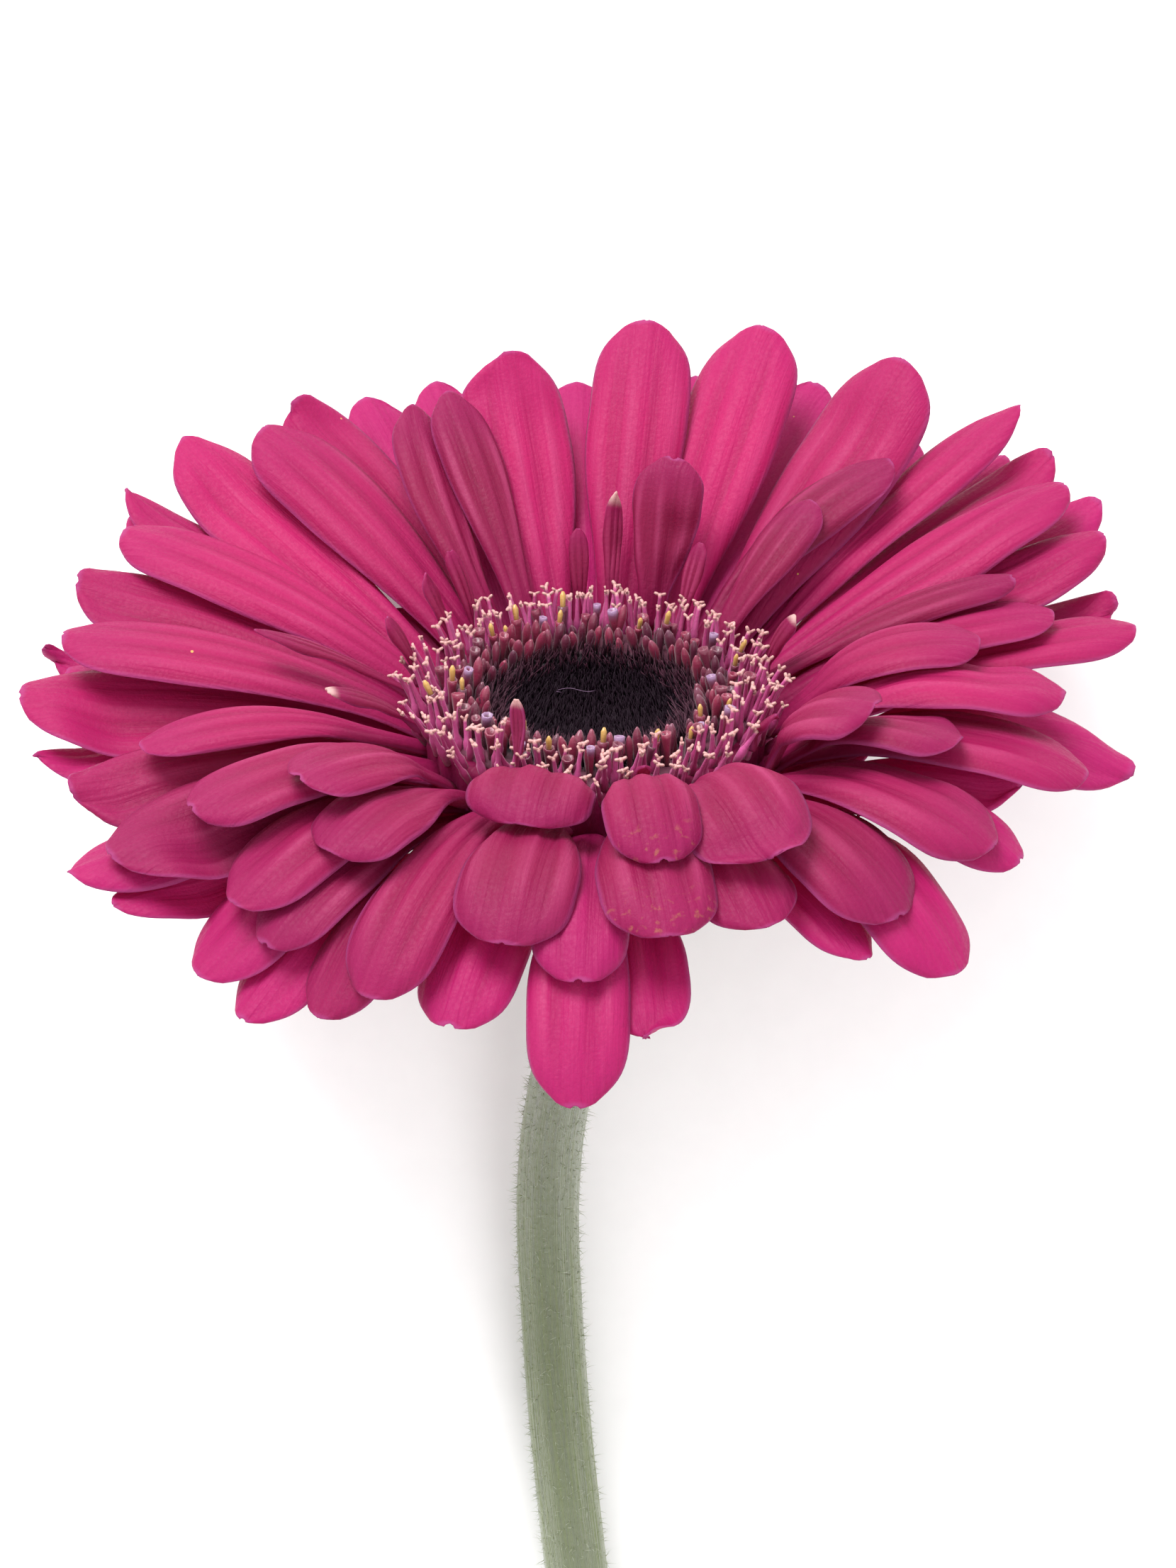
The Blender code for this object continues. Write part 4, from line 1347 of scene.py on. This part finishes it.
def stem_skin(look):
    """The stem's skin: faintly ribbed, wider at the neck, with a pithy cut end."""
    coarse = np.array([tuple(point) for point in stem_route()])
    rows = look.rows
    sides = look.sides
    t = (len(coarse) - 1) * np.linspace(0.0, 1.0, rows)
    middle = spline(coarse, t)
    middle[0] += middle[0] - middle[1]
    along = np.gradient(middle, axis=0)
    along /= np.linalg.norm(along, axis=1, keepdims=True)
    side = np.cross((0.0, 0.0, 1.0), along)
    side /= np.linalg.norm(side, axis=1, keepdims=True)
    up = np.cross(along, side)
    reach = np.concatenate([[0.0], np.cumsum(np.linalg.norm(np.diff(middle, axis=0), axis=1))])
    points = []
    uv = []
    young = []
    for i in range(rows):
        flare = (NECK_RADIUS - STEM_RADIUS) * (1.0 - smoothstep(reach[i] / 12.0))
        cut = 0.35 * max(0.0, 1.0 - (rows - 1 - i) / 2.0)
        for j in range(sides):
            angle = math.tau * j / sides
            ribs = 0.10 * math.cos(9.0 * angle + reach[i] * 0.012)
            ribs = ribs + 0.06 * math.cos(4.0 * angle + reach[i] * 0.05)
            radius = STEM_RADIUS - 0.12 + flare - cut + ribs
            outwards = side[i] * (radius * math.cos(angle))
            points.append(middle[i] + outwards + up[i] * (radius * math.sin(angle)))
            uv.append((3.0 * math.cos(angle), reach[i] / 10.0 + math.sin(angle)))
            young.append(1.0 - 0.78 * smoothstep((reach[i] - 6.0) / look.fuzz_reach))
    faces = tube_faces(rows, sides) + [tuple(range(sides - 1, -1, -1))]
    # The cut end, sunk towards its middle.
    ring = (rows - 1) * sides
    for share, sink in ((0.82, 0.0), (0.62, 0.35), (0.30, 0.7)):
        first = len(points)
        for j in range(sides):
            edge = points[(rows - 1) * sides + j]
            points.append(middle[-1] + (edge - middle[-1]) * share - along[-1] * sink)
            uv.append((0.0, 0.0))
            young.append(1.0)
        for j in range(sides):
            n = (j + 1) % sides
            faces.append((ring + j, ring + n, first + n, first + j))
        ring = first
    faces.append(tuple(range(ring, ring + sides)))
    return points, faces, uv, {"young": young}


def whole(name, description, default, low, high):
    """A count that the user can change."""
    return bpy.props.IntProperty(name=name, description=description, default=default, min=low, max=high)


def amount(name, description, default, low, high, **kind):
    """A size or a strength that the user can change."""
    return bpy.props.FloatProperty(
        name=name, description=description, default=default, min=low, max=high, **kind
    )


def tone(name, description, *default):
    """A colour that the user can change."""
    return bpy.props.FloatVectorProperty(
        name=name, description=description, default=default, subtype="COLOR", size=3, min=0.0, max=1.0
    )


class PetalLook(bpy.types.PropertyGroup):
    """Sizes in millimetres and colours of the petals."""

    rows: whole("Rows along a petal", "How finely a petal is built along its length", 34, 12, 80)
    columns: whole("Columns across a petal", "How finely a petal is built across", 19, 9, 41)
    thickness: amount("Thickness", "Thickness of a petal at its middle, mm", 0.42, 0.2, 0.8)
    rib_depth: amount("Rib height", "Height of the long ribs, mm", 0.17, 0.0, 0.5)
    rim_wave: amount("Rim wave", "Waving of the rim, mm", 0.22, 0.0, 1.0)
    rim_curl: amount("Rim curl", "How far the rim curls down, mm", 0.35, 0.0, 1.5)
    notch_depth: amount("Notch depth", "Depth of the notches in the tip, mm", 0.35, 0.0, 2.0)
    tip_growth: amount("Tip growth", "Rounded tip beyond the CAD blade, mm", 0.9, 0.0, 2.0)
    claw_length: amount(
        "Claw length", "Share of its length that a petal runs on inwards to its root", 0.07, 0.0, 0.15
    )
    deep: tone("Deep", "Deeper magenta of the inner petals", 0.200, 0.0048, 0.048)
    bright: tone("Bright", "Brighter magenta of the inner petals", 0.440, 0.0108, 0.116)
    outer_deep: tone("Outer deep", "Deeper pink of the outer petals", 0.370, 0.0088, 0.108)
    outer_bright: tone("Outer bright", "Brighter pink of the outer petals", 0.470, 0.0140, 0.152)
    # Pale pink of the veins and the undersides, also laid along the ribs as a painted highlight.
    pale_and_highlight_colour: tone("Rib colour", "Pale pink along the ribs", 0.460, 0.062, 0.180)
    # Deep crimson: painted shade in the grooves and on the hidden claws, and the deep tone of the small
    # petals and the grain flecks.
    deep_and_groove_shade_colour: tone("Groove colour", "Deep crimson in the grooves", 0.140, 0.0024, 0.031)
    claw_colour: tone("Claw colour", "Colour near the disc", 0.240, 0.0050, 0.078)
    far_colour: tone("Far colour", "Purplish magenta towards the tip", 0.27, 0.010, 0.105)
    rim_colour: tone("Rim colour", "Purplish rim", 0.330, 0.060, 0.210)
    glow_colour: tone("Glow colour", "Light let through a petal", 1.0, 0.03, 0.26)
    # How strong the pale band along the ribs is: pale pink and a painted highlight.
    rib_pale_and_highlight_strength: amount("Rib paleness", "How pale the ribs are", 0.48, 0.0, 1.0, subtype="FACTOR")
    rim_strength: amount(
        "Rim strength", "How strong the rim's colour is", 0.55, 0.0, 1.0, subtype="FACTOR"
    )
    see_through: amount(
        "Light let through", "Share of light through a petal", 0.3, 0.0, 1.0, subtype="FACTOR"
    )


class DiscLook(bpy.types.PropertyGroup):
    """Counts and colours of the disc."""

    styles: whole("Styles", "Florets in bloom, with forked stigmas", 215, 20, 400)
    mouths: whole("Opening florets", "Florets about to bloom", 64, 10, 300)
    buds: whole("Buds", "Closed florets", 130, 10, 300)
    down: whole("Inner bristles", "Maroon bristles on the slope of the heart", 1500, 100, 6000)
    heart_bristles: whole("Heart bristles", "Dark bristles of the heart", 5200, 100, 9000)
    style_dark: tone("Style dark", "Darker pink of the styles", 0.30, 0.018, 0.11)
    style_pale: tone("Style pale", "Paler pink of the styles", 0.56, 0.09, 0.29)
    stigma: tone("Stigma", "Creamy pink of the stigmas", 0.50, 0.25, 0.235)
    bud_dark: tone("Bud dark", "Maroon of the buds", 0.085, 0.008, 0.030)
    bud_red: tone("Bud red", "Red of the buds", 0.23, 0.014, 0.050)
    # The greyish lilac of the lips and bud tips is a painted sheen; the thread takes it as its own pale
    # colour.
    bud_sheen: tone("Bud lip", "Greyish lilac of the opening lips", 0.26, 0.14, 0.26)
    pollen: tone("Pollen", "Yellow of the anthers", 0.46, 0.26, 0.06)
    heart: tone("Heart", "Near black of the heart", 0.011, 0.0036, 0.009)
    down_colour: tone("Inner bristle tips", "Maroon brown of the bristle tips", 0.060, 0.008, 0.026)


class StemLook(bpy.types.PropertyGroup):
    """Sizes in millimetres and colours of the stem and the involucre."""

    rows: whole("Rows", "How finely the stem is built along its length", 150, 40, 400)
    sides: whole("Sides", "Sides of the stem", 40, 12, 80)
    fuzz_reach: amount(
        "Fuzz reach", "Length of the whitish young part below the neck, mm", 48.0, 5.0, 250.0
    )
    hair_density: amount(
        "Hair density", "Hairs to a square millimetre where it is youngest", 4.4, 0.0, 10.0
    )
    bracts: whole("Bracts", "Pointed leaves of the green cup", 72, 10, 200)
    dark: tone("Green", "Older green of the stem", 0.085, 0.122, 0.013)
    pale: tone("Young green", "Grey green of the young stem", 0.37, 0.38, 0.345)
    streak: tone("Streak", "Pale streaks along the stem", 0.19, 0.235, 0.060)
    hair: tone("Hair", "Whitish hairs", 0.78, 0.80, 0.76)
    bract: tone("Bract", "Dark green of the bracts", 0.09, 0.16, 0.05)
    bract_pale: tone("Bract rim", "Pale green of the bract rims", 0.26, 0.34, 0.14)


class StageLook(bpy.types.PropertyGroup):
    """The table, the light and the camera."""

    floor: tone("Table", "Colour of the table", 0.93, 0.93, 0.93)
    sky: amount("Surrounding light", "Strength of the even light all round", 1.22, 0.0, 5.0)
    key: amount(
        "Key light", "Power of the large soft light behind the head", 18.0, 0.0, 200.0, unit="POWER"
    )
    fill: amount("Fill light", "Power of the soft light beside the camera", 3.0, 0.0, 200.0, unit="POWER")
    lens: amount("Lens", "Focal length of the camera", 119.1, 20.0, 300.0, unit="CAMERA")


# The closed ring that joins the petals' claws round the disc, as (radius, height) in millimetres.
CLAW_RING = (
    (12.4, -13.0),
    (15.2, -13.0),
    (16.3, -11.0),
    (16.6, -7.0),
    (16.8, -4.2),
    (16.4, -3.4),
    (14.6, -3.4),
)
CLAW_RING_SIDES = 204
CLAW_RING_RIBS = 34.0

# The bed that the florets stand on, and the green cup below it.
FLORET_BED = (
    (0.0, -7.2),
    (13.4, -7.2),
    (14.6, -5.0),
    (15.4, -3.6),
    (15.0, -3.1),
    (13.0, -3.2),
    (10.8, -3.6),
    (8.6, -4.2),
    (5.0, -4.9),
    (0.0, -5.2),
)
GREEN_CUP = (
    (0.0, -7.6),
    (12.8, -7.6),
    (13.4, -9.0),
    (13.4, -11.2),
    (13.2, -13.2),
    (12.2, -15.2),
    (9.6, -17.2),
    (6.6, -18.8),
    (4.9, -20.0),
    (4.3, -21.2),
    (0.0, -21.2),
)


class GERBERA_OT_short_rays(bpy.types.Operator):
    """Builds the small petals beside the disc and the ring that their claws stand on"""

    bl_idname = "gerbera.short_rays"
    bl_label = "Small petals"

    def execute(self, context):
        look = context.scene.gerbera_petals
        CANOPY.add(*turned(disc_outline(), 36))
        surface = petal_material("petal small", look, look.deep_and_groove_shade_colour, look.deep)
        # The first one stands up in front of the disc, slimmer than its CAD blade.
        upright = SHORT_RAYS[0]._replace(reach=18.2, rise=7.0, width=2.5, point=0.9)
        rays = (upright, *SHORT_RAYS[1:])
        kinds = {1: 1.0, 4: 1.0, 10: 1.0, 18: 1.0}
        grouped_whorl("petals_short_rays", "short", rays, look, surface, kinds, ["short_rays"])
        # The CAD collar that joins them, which the petals below have to clear.
        whorl = WHORLS["short"]
        inner = whorl.radius - COLLAR_WIDTH * 0.3
        outer = whorl.radius + COLLAR_WIDTH * 0.7
        low, high = whorl.height - 1.6, whorl.height + 0.5
        collar = ((inner, low), (outer, low), (outer, high), (inner, high))
        CANOPY.add(*turned(collar, COLLAR_SIDES))
        points, faces = turned(CLAW_RING, CLAW_RING_SIDES)
        uv = []
        for point in points:
            swell = 1.0 + 0.012 * math.cos(CLAW_RING_RIBS * math.atan2(point.y, point.x))
            point.x *= swell
            point.y *= swell
            uv.append((1.6 * math.atan2(point.y, point.x), point.z / 10.0))
        ring = mesh_piece("claw_ring", points, faces, HEAD, uv, {"rib": [0.0] * len(points)})
        finish_piece(ring, "ray_petal", surface)
        return {"FINISHED"}


class GERBERA_OT_inner_rays(bpy.types.Operator):
    """Builds the inner petals, which lie on top"""

    bl_idname = "gerbera.inner_rays"
    bl_label = "Inner petals"

    def execute(self, context):
        look = context.scene.gerbera_petals
        surface = petal_material("petal inner", look, look.deep, look.bright)
        separate_whorl("inner", INNER_RAYS, look, surface, {2: 0.55})
        return {"FINISHED"}


class GERBERA_OT_main_rays(bpy.types.Operator):
    """Builds the main petals"""

    bl_idname = "gerbera.main_rays"
    bl_label = "Main petals"

    def execute(self, context):
        look = context.scene.gerbera_petals
        surface = petal_material("petal main", look, look.deep, look.bright)
        separate_whorl("main", MAIN_RAYS, look, surface, {14: 0.55})
        return {"FINISHED"}


class GERBERA_OT_outer_rays(bpy.types.Operator):
    """Builds the outer petals"""

    bl_idname = "gerbera.outer_rays"
    bl_label = "Outer petals"

    def execute(self, context):
        look = context.scene.gerbera_petals
        surface = petal_material("petal outer", look, look.outer_deep, look.outer_bright)
        separate_whorl("outer", OUTER_RAYS, look, surface, {})
        return {"FINISHED"}


class GERBERA_OT_under_rays(bpy.types.Operator):
    """Builds the lowest petals, and the claws of the ones that they hide"""

    bl_idname = "gerbera.under_rays"
    bl_label = "Lowest petals"

    def execute(self, context):
        look = context.scene.gerbera_petals
        surface = petal_material("petal lowest", look, look.outer_deep, look.outer_bright)
        grouped_whorl("petals_under_rays", "under", UNDER_RAYS, look, surface, {}, ["under_rays"])
        # The hidden claws take the deep crimson and the claw colour: painted shade, as they lie under the
        # other petals.
        shaded = petal_material("petal claws", look, look.deep_and_groove_shade_colour, look.claw_colour)
        grouped_whorl("petals_hidden_claws", "claw", claw_rays(), look, shaded, {}, [])
        return {"FINISHED"}


class GERBERA_OT_disc(bpy.types.Operator):
    """Builds the disc florets: styles, opening florets and buds, on their bed"""

    bl_idname = "gerbera.disc"
    bl_label = "Disc florets"

    def execute(self, context):
        look = context.scene.gerbera_disc
        dark, red, pollen = look.bud_dark, look.bud_red, look.pollen
        ground = small_floret_material("floret bed", dark, red, look.heart, pollen, 0.7, 0.0)
        points, faces = turned(FLORET_BED, 64)
        inside = [1.0 if math.hypot(point.x, point.y) < 10.9 else 0.0 for point in points]
        bed = mesh_piece("disc_bed", points, faces, HEAD, None, {"tip": inside})
        finish_piece(bed, "disc_florets", ground)
        pink = small_floret_material(
            "floret styles", look.style_dark, look.style_pale, look.stigma, pollen, 0.5, 0.1
        )
        # The tips of the buds and the lips of the opening florets take bud_sheen, greyish lilac: a
        # painted sheen.
        maroon = small_floret_material("floret buds", dark, red, look.bud_sheen, pollen, 0.35, 0.25)
        kinds = ((4.6, 0.48, 0.6), (5.0, 0.54, 0.9), (4.2, 0.40, 0.35), (4.8, 0.56, 1.1))
        shapes = [style_shape(*kind) for kind in kinds]
        styles = set_out(
            "disc_styles",
            shapes,
            pink,
            count=look.styles,
            radii=(13.9, 17.0),
            heights=(-3.9, -4.4),
            leans=(0.10, 0.42),
            stray=0.45,
            sizes=(0.92, 1.12),
            seed=4,
        )
        finish_piece(styles, "disc_florets", pink, ["disc_florets"])
        kinds = ((3.7, 0.46, 0.9, 0), (3.3, 0.54, 0.15, 0), (3.2, 0.48, 0.15, 1), (3.6, 0.50, 0.25, 0))
        shapes = [mouth_shape(*kind) for kind in kinds]
        mouths = set_out(
            "disc_mouths",
            shapes,
            maroon,
            count=look.mouths,
            radii=(12.3, 14.4),
            heights=(-3.4, -3.4),
            leans=(-0.05, 0.15),
            stray=0.5,
            sizes=(0.85, 1.15),
            seed=12,
        )
        finish_piece(mouths, "disc_florets", maroon)
        kinds = ((3.4, 0.52, 0.35), (3.0, 0.46, 0.0), (3.7, 0.48, 0.15), (2.7, 0.50, 0.0, 0.6))
        shapes = [bud_shape(*kind) for kind in kinds]
        buds = set_out(
            "disc_buds",
            shapes,
            maroon,
            count=look.buds,
            radii=(10.9, 13.1),
            heights=(-3.6, -3.3),
            leans=(-0.22, 0.0),
            stray=0.4,
            sizes=(0.8, 1.12),
            seed=21,
        )
        finish_piece(buds, "disc_florets", maroon)
        return {"FINISHED"}


class GERBERA_OT_heart(bpy.types.Operator):
    """Builds the dark bristly heart of the disc and the fine thread that lies on it"""

    bl_idname = "gerbera.heart"
    bl_label = "Dark heart"

    def execute(self, context):
        look = context.scene.gerbera_disc
        brown = hair_material("heart down", look.heart, look.down_colour)
        black = hair_material("heart bristles", look.heart, look.heart, 0.15)
        pale = hair_material("heart thread", look.heart, look.bud_sheen)
        kinds = ((2.2, 0.10, 0.3), (1.9, 0.12, 0.15), (2.4, 0.09, 0.5))
        shapes = [bristle_shape(*kind) for kind in kinds]
        down = set_out(
            "heart_down",
            shapes,
            brown,
            count=look.down,
            radii=(8.8, 11.5),
            heights=(-4.3, -3.6),
            leans=(-0.45, -0.25),
            stray=0.45,
            sizes=(0.8, 1.25),
            seed=31,
        )
        finish_piece(down, "disc_heart", brown)
        kinds = ((1.3, 0.10, 0.2), (1.1, 0.12, 0.1), (1.5, 0.10, 0.3))
        shapes = [bristle_shape(*kind) for kind in kinds]
        heart = set_out(
            "heart_bristles",
            shapes,
            black,
            count=look.heart_bristles,
            radii=(0.1, 10.0),
            heights=(-5.2, -4.2),
            leans=(0.0, -0.35),
            stray=0.35,
            sizes=(0.8, 1.25),
            seed=41,
        )
        finish_piece(heart, "disc_heart", black, ["disc_heart"])
        points, faces, marks = thread_shape()
        finish_piece(mesh_piece("heart_thread", points, faces, HEAD, None, marks), "disc_heart", pale)
        return {"FINISHED"}


class GERBERA_OT_involucre(bpy.types.Operator):
    """Builds the green cup under the head and its bracts"""

    bl_idname = "gerbera.involucre"
    bl_label = "Involucre"

    def execute(self, context):
        look = context.scene.gerbera_stem
        green = green_material("bract green", look.bract, look.bract_pale, look.bract_pale, 0.3)
        points, faces = turned(GREEN_CUP, 56)
        angles = [math.atan2(point.y, point.x) for point in points]
        uv = [(2.0 * math.cos(a), point.z / 10.0 + math.sin(a)) for point, a in zip(points, angles)]
        cup = mesh_piece("involucre_cup", points, faces, HEAD, uv, {"young": [0.35] * len(points)})
        finish_piece(cup, "bracts", green, ["involucre"])
        shapes = [bract_shape(*kind) for kind in ((9.0, 3.4), (8.0, 3.0), (10.0, 3.2))]
        bracts = set_out(
            "involucre_bracts",
            shapes,
            green,
            count=look.bracts,
            radii=(8.4, 13.2),
            heights=(-18.2, -14.6),
            leans=(1.25, 0.62),
            stray=0.12,
            sizes=(0.75, 1.0),
            seed=51,
            bend=1.8,
            spin=0.0,
        )
        finish_piece(bracts, "bracts", green)
        return {"FINISHED"}


class GERBERA_OT_stem(bpy.types.Operator):
    """Builds the stem and its hairs"""

    bl_idname = "gerbera.stem"
    bl_label = "Stem"

    def execute(self, context):
        look = context.scene.gerbera_stem
        green = green_material("stem green", look.dark, look.pale, look.streak, 0.5)
        hair = hair_material("stem hair", look.streak, look.hair)
        place = stem_place()
        points, faces, uv, marks = stem_skin(look)
        stalk = mesh_piece("stem_stalk", points, faces, place, uv, marks)
        finish_piece(stalk, "stem", green, ["stem"])
        kinds = ((1.0, 0.032, 0.35), (0.8, 0.030, 0.2), (1.2, 0.030, 0.5))
        shapes = [bristle_shape(*kind) for kind in kinds]
        values = {"Density": look.hair_density, "Lean": 0.95, "Shortest": 0.45, "Seed": 61}
        skin = stalk.data.copy()
        skin.transform(place.inverted())
        hairs = grown("stem_hairs", hair_tree, shapes, hair, place, values, skin)
        # No hair dips below the table.
        for point in hairs.data.vertices:
            point.co.z = max(point.co.z, 0.0)
        finish_piece(hairs, "stem", hair)
        return {"FINISHED"}


# The table is a little below the stem, so that the two don't flicker, and wider than any view.
TABLE_REACH = 3.0
TABLE_DROP = 0.0002
SQUARE = ((-1, -1), (1, -1), (1, 1), (-1, 1))
VIEW_TIP = math.radians(5.0)


class GERBERA_OT_stage(bpy.types.Operator):
    """Sets up the table, the light and the camera"""

    bl_idname = "gerbera.stage"
    bl_label = "Stage"

    def execute(self, context):
        look = context.scene.gerbera_stage
        scene = context.scene
        paper, wiring, shader = new_material("table paper", Roughness=0.85)
        grain = group(wiring, grain_group, {"Size": 0.004})
        dull = [value * 0.985 for value in look.floor]
        wiring.put(shader.inputs["Base Color"], wiring.painted(look.floor, (grain["Mask"], dull)))
        corners = [(x * TABLE_REACH, y * TABLE_REACH, -TABLE_DROP) for x, y in SQUARE]
        floor = in_scene("table", shell("table", corners, [(0, 1, 2, 3)], {}))
        floor.data.materials.append(paper)
        world = bpy.data.worlds.new("soft room")
        world.use_nodes = True
        sky = world.node_tree.nodes["Background"].inputs
        sky["Color"].default_value = (1.0, 1.0, 1.0, 1.0)
        sky["Strength"].default_value = look.sky
        scene.world = world
        head = HEAD.translation
        soft_light("key", head + Vector((-0.32, 0.82, 0.68)), head, look.key)
        soft_light("fill", head + Vector((0.45, -0.5, 0.9)), head, look.fill)
        lens = bpy.data.cameras.new("camera")
        lens.lens = look.lens
        lens.sensor_width = 36.0
        lens.clip_start = 0.02
        lens.clip_end = 20.0
        eye = in_scene("camera", lens)
        away = Vector((0.0, -math.sin(VIEW_TIP), math.cos(VIEW_TIP)))
        up = Vector((0.0, math.cos(VIEW_TIP), math.sin(VIEW_TIP)))
        aside = Vector((0.444, 0.0, 0.0))
        eye.location = head + (away * 500.0 - aside - up * 10.18) * MM
        eye.rotation_euler = (VIEW_TIP, 0.0, 0.0)
        scene.camera = eye
        scene.view_settings.view_transform = "Standard"
        return {"FINISHED"}


def soft_light(name, spot, target, power):
    """A large soft light that faces the target."""
    lamp = bpy.data.lights.new(name, "AREA")
    lamp.shape = "DISK"
    lamp.size = 0.7
    lamp.energy = power
    made = in_scene(name, lamp)
    made.location = spot
    made.rotation_euler = (target - spot).to_track_quat("-Z", "Y").to_euler()


BUILDERS = (
    GERBERA_OT_short_rays,
    GERBERA_OT_inner_rays,
    GERBERA_OT_main_rays,
    GERBERA_OT_outer_rays,
    GERBERA_OT_under_rays,
    GERBERA_OT_disc,
    GERBERA_OT_heart,
    GERBERA_OT_involucre,
    GERBERA_OT_stem,
    GERBERA_OT_stage,
)
LOOKS = {
    "gerbera_petals": PetalLook,
    "gerbera_disc": DiscLook,
    "gerbera_stem": StemLook,
    "gerbera_stage": StageLook,
}


class GERBERA_PT_panel(bpy.types.Panel):
    """Lists the parts of the flower, in the order in which they are built"""

    bl_label = "Gerbera"
    bl_idname = "GERBERA_PT_panel"
    bl_space_type = "VIEW_3D"
    bl_region_type = "UI"
    bl_category = "Gerbera"

    def draw(self, context):
        for builder in BUILDERS:
            self.layout.operator(builder.bl_idname)
        for name, look in LOOKS.items():
            box = self.layout.box()
            settings = getattr(context.scene, name)
            for label in look.__annotations__:
                box.prop(settings, label)


def register():
    for kind in (*LOOKS.values(), *BUILDERS, GERBERA_PT_panel):
        bpy.utils.register_class(kind)
    for name, look in LOOKS.items():
        setattr(bpy.types.Scene, name, bpy.props.PointerProperty(type=look))


def unregister():
    for name in LOOKS:
        delattr(bpy.types.Scene, name)
    for kind in (GERBERA_PT_panel, *BUILDERS[::-1], *list(LOOKS.values())[::-1]):
        bpy.utils.unregister_class(kind)


def main():
    register()
    bpy.ops.gerbera.short_rays()
    bpy.ops.gerbera.inner_rays()
    bpy.ops.gerbera.main_rays()
    bpy.ops.gerbera.outer_rays()
    bpy.ops.gerbera.under_rays()
    bpy.ops.gerbera.disc()
    bpy.ops.gerbera.heart()
    bpy.ops.gerbera.involucre()
    bpy.ops.gerbera.stem()
    bpy.ops.gerbera.stage()


if __name__ == "__main__":
    main()
